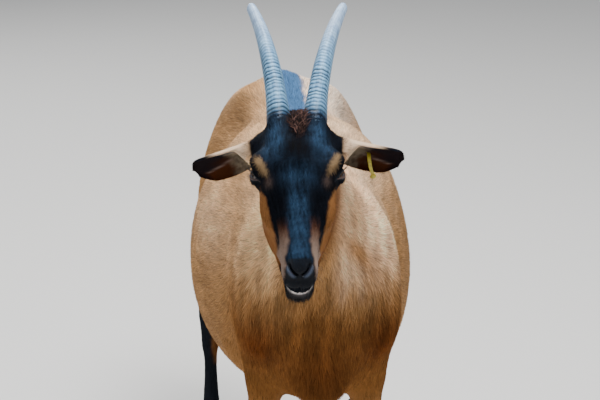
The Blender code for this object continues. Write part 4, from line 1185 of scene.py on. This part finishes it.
def grow(name, roots, normals, places, seed, material, bend=False, curl=0.0):
    """One coat piece: a thin closed lock of hair at each root, joined into one mesh. A bent
    lock has a knee half way along."""
    rng = np.random.default_rng(seed)
    total = len(roots)
    length, width, rise, _ = hair_sizes(regions(roots), roots)
    scale = settings().coat_length / COAT_LENGTH
    way = lie_of_coat(roots, normals)
    way = unit(way + np.cross(normals, way) * rng.normal(0, 0.16, total)[:, None])
    across = np.cross(normals, way)
    length = length * scale * rng.uniform(0.72, 1.22, total)
    width = width * rng.uniform(0.75, 1.25, total)
    rise = rise * scale * rng.uniform(0.55, 1.10, total)
    sway = length * rng.normal(0, 0.05 + curl, total)
    base = roots - normals * ROOT_SINK
    sections = [(base, 0.58, 0.40)]
    if bend:
        knee = base + way * length[:, None] * 0.52 + normals * (rise * 0.78)[:, None]
        sections.append((knee + across * (sway * 0.6)[:, None], 0.50, 0.32))
    corners, outward = [], []
    for spot, wide, thick in sections:
        for k in range(3):
            angle = math.radians(90 + 120 * k)
            c, s = math.cos(angle), math.sin(angle)
            corners.append(spot + (across * c * wide + normals * s * thick) * width[:, None])
            outward.append(normals * s + across * c)
    tip = base + way * length[:, None] + normals * rise[:, None] + across * sway[:, None]
    if curl:
        tip = tip + across * (rng.normal(0, 0.4, total) * length)[:, None]
    corners.append(tip)
    outward.append(way * 0.3)
    shading = np.stack([unit(o) for o in outward], axis=1)
    shading = unit(shading * 0.42 + normals[:, None, :] * 0.80).reshape(-1, 3)
    mesh = lock_mesh(name, np.stack(corners, axis=1), places)

    colour = pigment(roots)
    tone = rng.normal(1.0, 0.42 if curl else 0.28, total).clip(0.35, 1.8)[:, None]
    warm = rng.normal(0, 0.04, total)[:, None] * np.array((1, 0.2, -0.8))
    colour = colour * tone * (1 + warm)
    shades = np.array([LOCK_SHADES[min(k // 3, 1)] for k in range(len(corners) - 1)] + [LOCK_SHADES[2]])
    paint(mesh, np.clip(colour[:, None, :] * shades[:, None], 0.002, 1).reshape(-1, 3))
    mesh.normals_split_custom_set_from_vertices(shading.astype(np.float32))
    return new_object(name, mesh, material)


def lock_mesh(name, corners, places):
    """A mesh of closed locks, each of one or two sections of three corners and a tip."""
    total, per = corners.shape[:2]
    tip = per - 1
    lock = [(0, 2, 1)]
    for k in range(3):
        m = (k + 1) % 3
        for low in range(0, tip - 3, 3):
            lock += [(low + k, low + m, low + 3 + m), (low + k, low + 3 + m, low + 3 + k)]
        lock.append((tip - 3 + k, tip - 3 + m, tip))
    faces = (np.array(lock)[None] + (np.arange(total) * per)[:, None, None]).reshape(-1, 3)
    mesh = bpy.data.meshes.new(name)
    mesh.vertices.add(total * per)
    mesh.vertices.foreach_set("co", corners.astype(np.float32).ravel())
    mesh.loops.add(faces.size)
    mesh.loops.foreach_set("vertex_index", faces.ravel().astype(np.int32))
    mesh.polygons.add(len(faces))
    mesh.polygons.foreach_set("loop_start", np.arange(0, faces.size, 3, dtype=np.int32))
    mesh.polygons.foreach_set("use_smooth", np.ones(len(faces), bool))
    mesh.update(calc_edges=True)
    # Each lock is a small patch of the unwrap, where its root stands on the skin's
    spread = [(0.0012 * math.cos(2.1 * k), 0.0012 * math.sin(2.1 * k)) for k in range(tip)]
    spread = np.array(spread + [(0, 0.0015)])
    uv = np.clip(places[:, None, :] + spread[None], 0.0005, 0.9995).reshape(-1, 2)
    layer = mesh.uv_layers.new(name="OFBake")
    layer.data.foreach_set("uv", uv[faces.ravel()].astype(np.float32).ravel())
    return mesh


# ---------------------------------------------------------------- finishes
def marked(name):
    """A material coloured by the painted markings, with any painted light and shade in them."""
    made = Nodes(name)
    made.feed(made.attribute("markings"), "Base Color")
    return made


def coat_material():
    made = marked("coat_hair")
    made.set(Roughness=0.62, Specular_IOR_Level=0.02)
    return made.material


def skin_material():
    """Dry, finely grained skin, with wet and pored places where it is moist."""
    made = marked("skin_and_flat_hair")
    wet = made.attribute("moist", "Fac")
    dry = made.maths("SUBTRACT", 1.0, wet)
    made.feed(made.maths("ADD", made.maths("MULTIPLY", dry, 0.40), 0.26), "Roughness")
    grain = made.noise(900.0, 3.0)
    pores = made.add("ShaderNodeTexVoronoi", Scale=520.0)
    made.join(made.tree.nodes["place"].outputs["Object"], pores.inputs["Vector"])
    wet_pores = made.maths("MULTIPLY", pores.outputs["Distance"], wet)
    height = made.maths("ADD", made.maths("MULTIPLY", grain, dry), made.maths("MULTIPLY", wet_pores, 1.4))
    made.bump(height, 0.45, 0.0006)
    made.feed(made.maths("MULTIPLY", wet, 0.40), "Coat Weight")
    made.set(Specular_IOR_Level=0.02, Coat_Roughness=0.30, Coat_IOR=1.42, Subsurface_Weight=0.05,
             Subsurface_Scale=0.003)
    return made.material


def horn_material():
    """Horn with fine streaks that run along it."""
    made = Nodes("horn_keratin")
    streak = made.noise(240.0, 6.0, 0.62)
    made.join(made.attribute("grain", "Vector"), made.tree.nodes["Noise Texture"].inputs["Vector"])
    shade = made.ramp(streak, (0.30, (0.50, 0.52, 0.55)), (0.70, (1.18, 1.16, 1.12)))
    blend = made.add("ShaderNodeMix", data_type="RGBA", blend_type="MULTIPLY")
    blend.inputs[0].default_value = 1.0
    made.join(made.attribute("markings"), blend.inputs[6])
    made.join(shade, blend.inputs[7])
    made.feed(blend.outputs[2], "Base Color")
    made.bump(streak, 0.5, 0.0008)
    made.set(Roughness=0.46, Specular_IOR_Level=0.35)
    return made.material


def hoof_material():
    made = Nodes("hoof_keratin")
    streak = made.noise(160.0, 5.0, 0.6)
    made.feed(made.ramp(streak, (0.32, (0.016, 0.014, 0.013)), (0.72, (0.060, 0.050, 0.042))), "Base Color")
    made.bump(streak, 0.5, 0.0008)
    made.set(Roughness=0.52, Specular_IOR_Level=0.45)
    return made.material


def eye_material():
    made = marked("eyeball")
    made.set(Roughness=0.22, Specular_IOR_Level=0.6, Coat_Weight=1.0, Coat_Roughness=0.02, Coat_IOR=1.38)
    return made.material


def tag_material():
    """Moulded plastic, darker in soft random blotches: a painted stand-in for the ear's shade on it."""
    made = Nodes("tag_plastic")
    clean = Vector(settings().tag_colour)
    # Painted shade: soft random blotches darken the tag as the ear's shade does
    shade_blotches = made.noise(260.0, 4.0, 0.6)
    made.feed(made.ramp(shade_blotches, (0.34, clean * 0.60), (0.62, clean)), "Base Color")
    made.bump(made.noise(700.0, 2.0), 0.15, 0.0002)
    made.set(Roughness=0.42, Specular_IOR_Level=0.5, Subsurface_Weight=0.10, Subsurface_Scale=0.002)
    return made.material


def hair_material():
    """Dark lashes and whiskers."""
    made = Nodes("dark_hair")
    shade = made.ramp(made.noise(400.0), (0.35, (0.006, 0.006, 0.008)), (0.70, (0.026, 0.022, 0.021)))
    made.feed(shade, "Base Color")
    made.set(Roughness=0.45)
    return made.material


def paint(mesh, colours):
    """Writes the colour of each vertex of a mesh, with any painted light and shade in it, as its
    markings.
    """
    full = np.ones((len(mesh.vertices), 4), np.float32)
    full[:, :3] = colours
    mesh.color_attributes.new("markings", "FLOAT_COLOR", "POINT").data.foreach_set("color", full.ravel())


# ---------------------------------------------------------------- pieces
def finish_skin(skin):
    """Markings, moisture and unwrap of the skin."""
    mesh = skin.data
    points = points_of(mesh)
    paint(mesh, skin_colours(points))
    moist = mesh.attributes.new("moist", "FLOAT", "POINT")
    moist.data.foreach_set("value", moisture(points).astype(np.float32))
    finish(mesh, skin_material())
    unwrap(skin)
    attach(skin, "root")
    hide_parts(*FLESH, "ear_left", "ear_right")


def unwrap(obj):
    """Lays the whole surface out flat in a map named OFBake."""
    while obj.data.uv_layers:
        obj.data.uv_layers.remove(obj.data.uv_layers[0])
    obj.data.uv_layers.new(name="OFBake")
    for other in bpy.context.view_layer.objects:
        other.select_set(other == obj)
    bpy.context.view_layer.objects.active = obj
    bpy.ops.object.mode_set(mode="EDIT")
    bpy.ops.mesh.select_all(action="SELECT")
    bpy.ops.uv.smart_project(angle_limit=math.radians(72), island_margin=0.001)
    bpy.ops.object.mode_set(mode="OBJECT")


def skin_colours(points):
    """The markings, and the bare places that only the skin has: lids, nose, lips and mouth, with a
    painted highlight on the nostrils' wings and painted shade in their slits.
    """
    colour = pigment(points)
    r = regions(points)
    x, s, n = r["h"].T
    for _, side in SIDES:
        local = eye_local(points, side)
        gap = lid_gap(local)
        near = np.linalg.norm(local, axis=1) < 1.6
        colour = mix(colour, DARK * 0.7, near * smooth(-0.34, -0.20, gap))
        lower = (local[:, 1] < 0) * near
        colour = mix(colour, PINK * (0.62, 0.70, 0.74), lower * hill((gap, -0.030, 0.038)) * 0.88)
        colour = mix(colour, DARK * 0.5, near * smooth(-0.01, 0.03, gap))
    u, v = nostril_uv(x, s, n)
    at_nose = (s > 0.18) * (np.abs(x) < 0.03)
    colour = mix(colour, NOSE, 0.85 * nose_pad(x, s, n) * r["head"])
    # Painted highlight: paler wings beside the nostrils
    wing_highlight = hill((v, 0.0042, 0.0022)) * smooth(-0.012, -0.006, u) * smooth(0.012, 0.005, u)
    colour = mix(colour, NOSE * (9.0, 10.0, 11.0), 0.75 * wing_highlight * at_nose)
    # Painted shade: the nostrils' slits darker than the pad
    slit = hill((v, 0, 0.0016)) * (np.abs(u) < 0.0115) * at_nose
    colour = mix(colour, DARK * 0.3, 0.95 * slit)
    lip = r["head"] * smooth(0.185, 0.200, s) * (np.abs(x) < 0.045)
    gap = n - mouth_line(s)
    colour = mix(colour, FACE_BLACK, lip * hill((gap, 0.0075, 0.0080)))
    inner = np.interp(s, [0.193, 0.202, 0.214, 0.232], [0.0008, 0.0026, 0.0031, 0.0030])
    drop = np.interp(s, [0.205, 0.218, 0.232], [-0.0008, -0.0008, 0.0004])
    pale = np.exp(-(((gap - drop) / inner) ** 4)) * smooth(0.197, 0.207, s)
    return mix(colour, mix(LIP_DEEP, LIP_PALE, smooth(0.212, 0.224, s)), 0.95 * lip * pale)


def moisture(points):
    """1 on wet skin: the nose, the lips and the lid edges."""
    head = regions(points)["head"]
    x, s, n = to_head(points).T
    wet = nose_pad(x, s, n) * head * (0.06 + 0.60 * smooth(-0.026, -0.012, n))
    lips = hill((n, mouth_line(s), 0.0035)) * smooth(0.19, 0.205, s)
    wet = np.maximum(wet, 0.6 * lips * head)
    for _, side in SIDES:
        local = eye_local(points, side)
        near = np.linalg.norm(local, axis=1) < 1.6
        wet = np.maximum(wet, smooth(-0.16, -0.06, lid_gap(local)) * near)
    return np.clip(wet, 0, 1)


def make_coat(skin):
    """Every piece of the coat, each a region of the skin's roots."""
    roots, normals, places = roots_on(skin)
    r = regions(roots)
    x, y, z, (hx, s, _) = r["x"], r["y"], r["z"], r["h"].T
    head = r["head"] > 0.5
    part = np.where(x > 0, "barrel_left", "barrel_right").astype("<U16")
    for name, inside in (
            ("rump_right", y > 0.185),
            ("rump_left", (y > 0.185) & (x > 0)),
            ("shoulder_right", y < -0.115),
            ("shoulder_left", (y < -0.115) & (x > 0)),
            ("neck", (y < -0.300) & (z > 0.55)),
            ("forelegs", r["fore"] > 0.5),
            ("hind_legs", r["hind"] > 0.5),
            ("tail", r["tail"] > 0.5),
            ("head_left", head & (hx > 0)),
            ("head_right", head & (hx <= 0)),
            ("ears", r["ear"] > 0.5),
            ("crown", head & (hill((hx, 0.003, 0.0140), (s, 0.006, 0.028)) > 0.40))):
        part[inside] = name
    material = coat_material()
    for seed, name in enumerate(sorted(set(part)), 100):
        mine = part == name
        dark = name in ("tail", "crown")
        grown = grow("coat_" + name, roots[mine], normals[mine], places[mine], seed, material,
                     bend=dark, curl=0.50 if name == "crown" else 0.0)
        faces = len(grown.data.polygons)
        if faces >= PIECE_LIMIT:
            raise RuntimeError("coat piece {} has too many triangles: {}".format(name, faces))
        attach(grown, "root")


HORN_ROWS, HORN_AROUND = 380, 44
# Half of a horn's width, and its height above and below its middle line, at its root
HORN_HALF, HORN_ABOVE, HORN_BELOW = 0.0160, 0.0215, 0.0195
HORN_SQUARE = 2 / 1.85
# How far the rings stand out, and how closely they follow each other
RING_SWELL, RING_PHASE = 0.0013, 172


def knots(count, every, values):
    """Values at every so many rows, and evenly between them."""
    return np.interp(np.arange(count), np.arange(0, count, every), values)


def make_horn(word, side, material):
    """A horn with its growth rings, oval in section and tapering to a blunt tip, with painted shade
    in the grooves between the rings and down its sides.
    """
    count = HORN_ROWS
    rng = np.random.default_rng(40 + side)
    rings, grains, colours = [], [], []
    pitch = np.cumsum(np.interp(np.linspace(0, 1, count), [0, 0.6, 1], [0.74, 0.86, 0.45]))
    pitch = pitch * RING_PHASE / count + knots(count, 10, rng.normal(0, 0.42, count // 10))
    strength = knots(count, 5, rng.uniform(0.45, 1.0, count // 5))
    tint = np.array(settings().horn_colour)
    for i, (point, right, up) in enumerate(frames_along(horn_line(side, count), AXES[:, 2])):
        t = i / (count - 1)
        size = 1.04 + 0.12 * smooth(0.32, 0.10, t) - 0.31 * t - 0.30 * t * t
        size = size * (1 - smooth(0.960, 1.0, t) * 0.62)
        ringed = strength[i] * np.interp(t, [0, 0.42, 0.55, 0.70, 0.82], [1, 1, 0.55, 0.25, 0])
        base = mix(tint * (0.10, 0.13, 0.17), tint, smooth(0.150, 0.235, t))
        base = mix(base, HORN_MIDDLE, 0.60 * smooth(0.45, 0.85, t))
        ring = []
        for a in np.arange(HORN_AROUND) / HORN_AROUND * 2 * math.pi:
            c, s = math.cos(a), math.sin(a)
            wavy = 0.80 * math.sin(3 * a + 1.1 + 5 * t) + 0.50 * math.sin(7 * a + 17 * t)
            wave = 1 - (0.5 + 0.5 * math.sin(pitch[i] * 2 + wavy)) ** 2.4
            across = squared(c, HORN_SQUARE) * HORN_HALF * size
            rise = squared(s, HORN_SQUARE) * (HORN_ABOVE if s > 0 else HORN_BELOW) * size
            swell = RING_SWELL * ringed * (wave - 0.9)
            reach = math.hypot(across, rise)
            ring.append(point + (right * across + up * rise) * (1 + (swell - 0.0003) / reach))
            grains.append((c * 0.016, s * 0.020, t * 0.030))
            # Painted shade: darker in the grooves between the rings, and on the horn's two sides
            shade = 1.12 - 1.14 * ringed * (1 - wave) ** 0.75
            shade *= 1 - 0.22 * smooth(0.2, 1.0, abs(c)) * smooth(0.9, 0.5, t)
            colours.append(base * shade)
        rings.append(ring)
    horn = tube("horn_" + word, rings)
    spots = points_of(horn.data) * (1, 1, 0.35)
    blotches = ripple(spots, 0.016, 21) + 0.6 * ripple(spots, 0.005, 22)
    colours = np.array(colours) * (1 + 0.20 * blotches[:, None] * (1.0, 0.85, 0.60))
    paint(horn.data, colours.clip(0.01, 1))
    grain = horn.data.attributes.new("grain", "FLOAT_VECTOR", "POINT")
    grain.data.foreach_set("vector", np.array(grains, np.float32).ravel())
    horn.data.name = "horn_surface_" + word
    horn.data.materials.append(material)
    return horn


EYE_TURNS = 96
# Polar angles of the eyeball's rows, closer together over its front
EYE_ROWS = (*np.linspace(0.02, 0.95, 44), *np.linspace(0.95, 3.12, 21)[1:])


def eye_colour(u, v, streak):
    """The eyeball's colour at a place on its front, where 1 is the edge of the iris."""
    off = math.hypot(u, v)
    from_slot = max(abs(u) - 0.52, 0) ** 2 + (max(abs(v) - 0.10, 0) * 1.15) ** 2
    shade = IRIS * streak * (1.15 - 0.4 * off)
    shade = mix(shade, IRIS_EDGE, smooth(0.78, 1.02, off))
    shade = mix(shade, EYE_WHITE, smooth(1.02, 1.16, off))
    return mix(shade, PUPIL, smooth(0.020, 0.006, from_slot))


def make_eye(word, side, material):
    """An eyeball that looks out to the side, with a slot pupil that lies level."""
    streaks = np.random.default_rng(7).uniform(0.6, 1.25, EYE_TURNS)
    spots, colours = [], []
    for angle in EYE_ROWS:
        reach = EYE_RADIUS * (0.985 + 0.030 * float(smooth(0.85, 0.25, angle)))
        for k, streak in enumerate(streaks):
            a = k / EYE_TURNS * 2 * math.pi
            way = np.array((math.cos(a) * math.sin(angle), math.sin(a) * math.sin(angle), math.cos(angle)))
            spots.append(way * reach)
            colours.append(eye_colour(way[0] / 0.50, way[1] / 0.50, streak))
    rows = from_eye(np.array(spots), side).reshape(-1, EYE_TURNS, 3)
    eye = object_from("eyeball_" + word, rows.reshape(-1, 3), skin_over(rows), material)
    paint(eye.data, np.array(colours).clip(0, 1))
    return eye


def smoothed_copy(name, node, voxel, material):
    """A node's own shape in finer faces, with its edges rounded."""
    obj = remeshed(node_copy(node), voxel)
    obj.name = name
    relax(obj.data, (0.5, -0.52) * 6)
    obj.data.shade_smooth()
    finish(obj.data, material)
    return obj


HOOF_VOXEL, DEWCLAW_VOXEL = 0.0014, 0.0010
HOOF_RING = 0.0042


def make_hooves():
    """Ringed hooves with flat soles, and the small claws above them."""
    material = hoof_material()
    for name in CLAWS:
        hoof = smoothed_copy("hoof" + name[4:], name, HOOF_VOXEL, material)
        points = points_of(hoof.data)
        z = to_body(points)[:, 2]
        rings = 0.00035 * np.sin(z / HOOF_RING * 2 * math.pi + 3 * ripple(points, 0.03, 21))
        points += normals_of(hoof.data) * (rings * smooth(0.003, 0.008, z))[:, None]
        points[:, 2] = np.maximum(points[:, 2], 0.0)
        points[:, 2] = np.where(z < 0.0012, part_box(name)[0].z, points[:, 2])
        put_points(hoof.data, points)
        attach(hoof, "root")
        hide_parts(name)
    for name in [n for n in frame["nodes"] if n.startswith("dewclaw")]:
        claw = smoothed_copy("small_" + name, name, DEWCLAW_VOXEL, material)
        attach(claw, "root")
        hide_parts(name)


# The loop's middle line, in the ear's axes
TAG_LINE = [(0.0705, -0.0050, -0.0165), (0.0720, -0.0080, -0.0085), (0.0810, -0.0200, -0.0035),
            (0.0940, -0.0340, -0.0035), (0.1005, -0.0415, -0.0115), (0.0950, -0.0360, -0.0195),
            (0.0820, -0.0215, -0.0240), (0.0725, -0.0095, -0.0245)]
TAG_HALF, TAG_THIN = 0.0031, 0.0008
TAG_STUD, STUD_RADII = Vector((0.0925, -0.0325, -0.0022)), (0.0046, 0.0046, 0.0016)


def make_tag():
    """The loop tag through her left ear, with the round stud that closes it."""
    place, steps, wide = ear_frame(1), 10, Vector((1, 0, 0))
    closed = through(TAG_LINE + TAG_LINE[:3], steps)[steps:-steps]
    rings = []
    for point, right, _ in frames_along(closed[:steps * len(TAG_LINE)], wide, looped=True):
        section = []
        for a in np.arange(16) / 16 * 2 * math.pi:
            c, s = math.cos(a), math.sin(a)
            section.append(place @ (point + wide * TAG_HALF * squared(c, 0.5)
                                    + right * TAG_THIN * squared(s, 0.6)))
        rings.append(section)
    material = tag_material()
    loop = tube("tag_loop", rings, material, looped=True)
    stud = ellipsoid("stud", (0, 0, 0), STUD_RADII)
    for v in stud.data.vertices:
        v.co = place @ (TAG_STUD + v.co)
    stud.data.shade_smooth()
    stud.data.materials.append(material)
    tag = joined([loop, stud])
    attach(tag, "root")
    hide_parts("ear_tag")


# ---------------------------------------------------------------- lashes and whiskers
LASH_THICK, WHISKER_THICK = 0.00016, 0.00013
HAIR_SIDES = 4


def hair_tree():
    """Turns each line of a mesh into a tapering hair. Inputs: thickness, sides and material."""
    tree = bpy.data.node_groups.new("tapering_hairs", "GeometryNodeTree")
    for name, kind in (("Geometry", "Geometry"), ("Thickness", "Float"), ("Sides", "Int"),
                       ("Finish", "Material")):
        tree.interface.new_socket(name, in_out="INPUT", socket_type="NodeSocket" + kind)
    tree.interface.new_socket("Geometry", in_out="OUTPUT", socket_type="NodeSocketGeometry")
    nodes = {name: tree.nodes.new(kind) for name, kind in (
        ("start", "NodeGroupInput"), ("end", "NodeGroupOutput"),
        ("curve", "GeometryNodeMeshToCurve"), ("along", "GeometryNodeSplineParameter"),
        ("taper", "ShaderNodeMapRange"), ("size", "ShaderNodeMath"),
        ("radius", "GeometryNodeSetCurveRadius"), ("circle", "GeometryNodeCurvePrimitiveCircle"),
        ("sweep", "GeometryNodeCurveToMesh"), ("real", "GeometryNodeRealizeInstances"),
        ("finish", "GeometryNodeSetMaterial"))}
    nodes["size"].operation = "MULTIPLY"
    for name, socket, value in (("taper", "To Min", 1.0), ("taper", "To Max", 0.12),
                                ("circle", "Radius", 1.0), ("sweep", "Fill Caps", True)):
        nodes[name].inputs[socket].default_value = value
    links = [("along", "Factor", "taper", "Value"), ("taper", "Result", "size", 0),
             ("start", "Thickness", "size", 1), ("start", "Geometry", "curve", "Mesh"),
             ("curve", "Curve", "radius", "Curve"), ("size", 0, "radius", "Radius"),
             ("start", "Sides", "circle", "Resolution"), ("radius", "Curve", "sweep", "Curve"),
             ("circle", "Curve", "sweep", "Profile Curve"), ("sweep", "Mesh", "real", "Geometry"),
             ("real", "Geometry", "finish", "Geometry"), ("start", "Finish", "finish", "Material"),
             ("finish", "Geometry", "end", "Geometry")]
    if "Scale" in nodes["sweep"].inputs:
        links.append(("size", 0, "sweep", "Scale"))
    for source, output, target, socket in links:
        tree.links.new(nodes[source].outputs[output], nodes[target].inputs[socket])
    return tree


def hairs(name, lines, thickness, material):
    """Single hairs along lines, each a closed tapering tube."""
    verts, edges = [], []
    for line in lines:
        edges += [(len(verts) + i, len(verts) + i + 1) for i in range(len(line) - 1)]
        verts += [tuple(p) for p in line]
    mesh = bpy.data.meshes.new(name)
    mesh.from_pydata(verts, edges, [])
    obj = new_object(name, mesh)
    step = obj.modifiers.new("hairs", "NODES")
    step.node_group = hair_tree()
    ids = {item.name: item.identifier for item in step.node_group.interface.items_tree
           if item.in_out == "INPUT"}
    step[ids["Thickness"]] = thickness
    step[ids["Sides"]] = HAIR_SIDES
    step[ids["Finish"]] = material
    applied(obj)
    obj.data.shade_smooth()
    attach(obj, "root")


def lash_lines():
    """Lashes along each upper lid, and a few along each lower one."""
    rng = np.random.default_rng(51)
    lines = []
    for _, side in SIDES:
        for upper, count, length in ((1, 40, 0.0065), (-1, 16, 0.0032)):
            for t in np.linspace(-0.70, 0.66, count):
                if upper > 0:
                    rise = LID_UP * lid_bow(t) * (1 - 0.15 * t) + 0.05
                else:
                    rise = -LID_LOW * lid_bow(t) - 0.05
                root = unit(np.array((t, rise, math.sqrt(max(1 - t * t - rise * rise, 0.05)))))
                root = root * 1.12 * EYE_RADIUS
                size = length * rng.uniform(0.75, 1.15)
                out = unit(np.array((t * 0.5, upper * 0.35, 1.0)) + rng.normal(0, 0.08, 3))
                lift = np.array((0, upper, 0.1))
                lines.append([from_eye(root + out * size * k + lift * size * 0.55 * k * k, side)
                              for k in np.linspace(0, 1, 5)])
    return lines


def whisker_lines(skin):
    """Whiskers on the lips and chin, from places on the skin."""
    rng = np.random.default_rng(52)
    points, normals = points_of(skin.data), normals_of(skin.data)
    x, s, n = to_head(points).T
    lips = (s > 0.178) & (s < 0.233) & (np.abs(x) < 0.04) & (n < -0.032) & (n > -0.09)
    lips &= np.abs(n - mouth_line(s)) > 0.006
    droop = unit(AXES @ np.array((0, 0.5, -0.6)))
    lines = []
    for i in rng.choice(np.flatnonzero(lips), 54, replace=False):
        size = rng.uniform(0.012, 0.026)
        out = unit(normals[i] + rng.normal(0, 0.14, 3))
        lines.append([points[i] - normals[i] * ROOT_SINK + out * size * k + droop * size * 0.35 * k * k
                      for k in np.linspace(0, 1, 6)])
    return lines


# ---------------------------------------------------------------- stage
CAMERA_TURN, CAMERA_RISE = math.radians(-4.6), math.radians(17.5)
CAMERA_DISTANCE, CAMERA_LENS = 3.1, 138.2
CAMERA_AIM = Vector((-0.0447, -0.50, 0.785))
FLOOR_HALF = 14
SKY_COLOUR, SKY_STRENGTH = (0.86, 0.92, 1.0, 1), 0.26


def turned_to(place, aim):
    """The rotation of a lamp or camera at a place that looks at another."""
    return (Vector(aim) - Vector(place)).to_track_quat("-Z", "Y").to_euler()


def make_stage():
    """A wide pale floor, a soft sky, four soft lamps and the camera."""
    scene = bpy.context.scene
    corners = [(x * FLOOR_HALF, y * FLOOR_HALF, 0) for x, y in ((-1, -1), (1, -1), (1, 1), (-1, 1))]
    floor = object_from("studio_floor", corners, [(0, 1, 2, 3)], turn_out=False)
    made = Nodes("studio_floor")
    made.shader.inputs["Base Color"].default_value = (*settings().floor_colour, 1)
    made.set(Roughness=0.85, Specular_IOR_Level=0.2)
    floor.data.materials.append(made.material)

    world = bpy.data.worlds.new("studio")
    world.use_nodes = True
    sky = world.node_tree.nodes["Background"]
    sky.inputs["Color"].default_value = SKY_COLOUR
    sky.inputs["Strength"].default_value = SKY_STRENGTH
    scene.world = world
    for name, place, aim, size, power in (
            ("key", (0.9, -1.5, 3.9), (0, -0.3, 0.6), 1.5, 190),
            ("fill", (-3.0, -2.6, 1.6), (0, -0.3, 0.6), 2.4, 30),
            ("top", (-0.3, 0.9, 3.4), (0, 0.1, 0.5), 2.0, 130),
            ("back", (-1.2, 3.4, 2.2), (0, 0, 0.6), 2.0, 45)):
        light = bpy.data.lights.new(name, "AREA")
        light.size, light.energy = size, power
        lamp = bpy.data.objects.new(name, light)
        scene.collection.objects.link(lamp)
        lamp.location = place
        lamp.rotation_euler = turned_to(place, aim)

    camera = bpy.data.objects.new("camera", bpy.data.cameras.new("camera"))
    scene.collection.objects.link(camera)
    camera.data.lens, camera.data.sensor_width = CAMERA_LENS, 36
    camera.location = CAMERA_AIM + CAMERA_DISTANCE * Vector((
        math.sin(CAMERA_TURN) * math.cos(CAMERA_RISE), -math.cos(CAMERA_TURN) * math.cos(CAMERA_RISE),
        math.sin(CAMERA_RISE)))
    camera.rotation_euler = turned_to(camera.location, CAMERA_AIM)
    scene.camera = camera


# ---------------------------------------------------------------- the add-on
class GoatSettings(PropertyGroup):
    """Sizes and colours of the goat that a user may change."""

    coat_length: FloatProperty(name="Hair length", description="Length of the hair on her sides",
                               default=COAT_LENGTH, min=0.004, max=0.04, unit="LENGTH")
    coat_density: FloatProperty(name="Hair density", description="How thick the coat stands, 1 as in life",
                                default=1.0, min=0.05, max=1.2, subtype="FACTOR")
    horn_colour: FloatVectorProperty(name="Horn colour", description="Grey-blue of the horns",
                                     default=(0.180, 0.385, 0.610), min=0, max=1, subtype="COLOR")
    tag_colour: FloatVectorProperty(name="Tag colour", description="Yellow of the ear tag",
                                    default=(0.55, 0.44, 0.02), min=0, max=1, subtype="COLOR")
    floor_colour: FloatVectorProperty(name="Floor colour", description="Pale floor of the studio",
                                      default=(0.70, 0.69, 0.67), min=0, max=1, subtype="COLOR")


def settings():
    return bpy.context.scene.goat


class GOAT_OT_skin(Operator):
    """Builds the one skin with its ears, lids, nostrils and lips"""
    bl_idname = "goat.skin"
    bl_label = "Skin"

    def execute(self, context):
        finish_skin(build_skin())
        return {"FINISHED"}


class GOAT_OT_coat(Operator):
    """Grows the short coat over the skin"""
    bl_idname = "goat.coat"
    bl_label = "Coat"

    def execute(self, context):
        make_coat(bpy.data.objects["skin"])
        return {"FINISHED"}


class GOAT_OT_horns(Operator):
    """Builds both ringed horns"""
    bl_idname = "goat.horns"
    bl_label = "Horns"

    def execute(self, context):
        material = horn_material()
        for word, side in SIDES:
            horn = make_horn(word, side, material)
            horn.name = "ringed_horn_" + word
            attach(horn, "root")
            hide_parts("horn_" + word)
        return {"FINISHED"}


class GOAT_OT_eyes(Operator):
    """Builds both eyeballs with their level slot pupils"""
    bl_idname = "goat.eyes"
    bl_label = "Eyes"

    def execute(self, context):
        material = eye_material()
        for word, side in SIDES:
            eye = make_eye(word, side, material)
            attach(eye, "root")
            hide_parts("eye_" + word)
        return {"FINISHED"}


class GOAT_OT_hooves(Operator):
    """Builds the eight hoof claws and eight dewclaws"""
    bl_idname = "goat.hooves"
    bl_label = "Hooves"

    def execute(self, context):
        make_hooves()
        return {"FINISHED"}


class GOAT_OT_tag(Operator):
    """Builds the yellow loop tag in her left ear"""
    bl_idname = "goat.tag"
    bl_label = "Ear tag"

    def execute(self, context):
        make_tag()
        return {"FINISHED"}


class GOAT_OT_whiskers(Operator):
    """Sets lashes and whiskers"""
    bl_idname = "goat.whiskers"
    bl_label = "Lashes and whiskers"

    def execute(self, context):
        material = hair_material()
        hairs("lashes", lash_lines(), LASH_THICK, material)
        hairs("whiskers", whisker_lines(bpy.data.objects["skin"]), WHISKER_THICK, material)
        return {"FINISHED"}


class GOAT_OT_stage(Operator):
    """Sets the pale floor, soft lights and camera"""
    bl_idname = "goat.stage"
    bl_label = "Stage"

    def execute(self, context):
        make_stage()
        return {"FINISHED"}


OPERATORS = (GOAT_OT_skin, GOAT_OT_coat, GOAT_OT_horns, GOAT_OT_eyes, GOAT_OT_hooves, GOAT_OT_tag,
             GOAT_OT_whiskers, GOAT_OT_stage)


class GOAT_PT_panel(Panel):
    """Lists the goat's pieces and settings"""
    bl_idname = "GOAT_PT_panel"
    bl_label = "Life-size goat"
    bl_space_type = "VIEW_3D"
    bl_region_type = "UI"
    bl_category = "Goat"

    def draw(self, context):
        for key in GoatSettings.__annotations__:
            self.layout.prop(context.scene.goat, key)
        for operator in OPERATORS:
            self.layout.operator(operator.bl_idname)


CLASSES = (GoatSettings, *OPERATORS, GOAT_PT_panel)


def register():
    for each in CLASSES:
        bpy.utils.register_class(each)
    bpy.types.Scene.goat = PointerProperty(type=GoatSettings)


def unregister():
    del bpy.types.Scene.goat
    for each in reversed(CLASSES):
        bpy.utils.unregister_class(each)


def main():
    register()
    for operator in OPERATORS:
        getattr(bpy.ops.goat, operator.bl_idname.split(".")[1])()


if __name__ == "__main__":
    main()
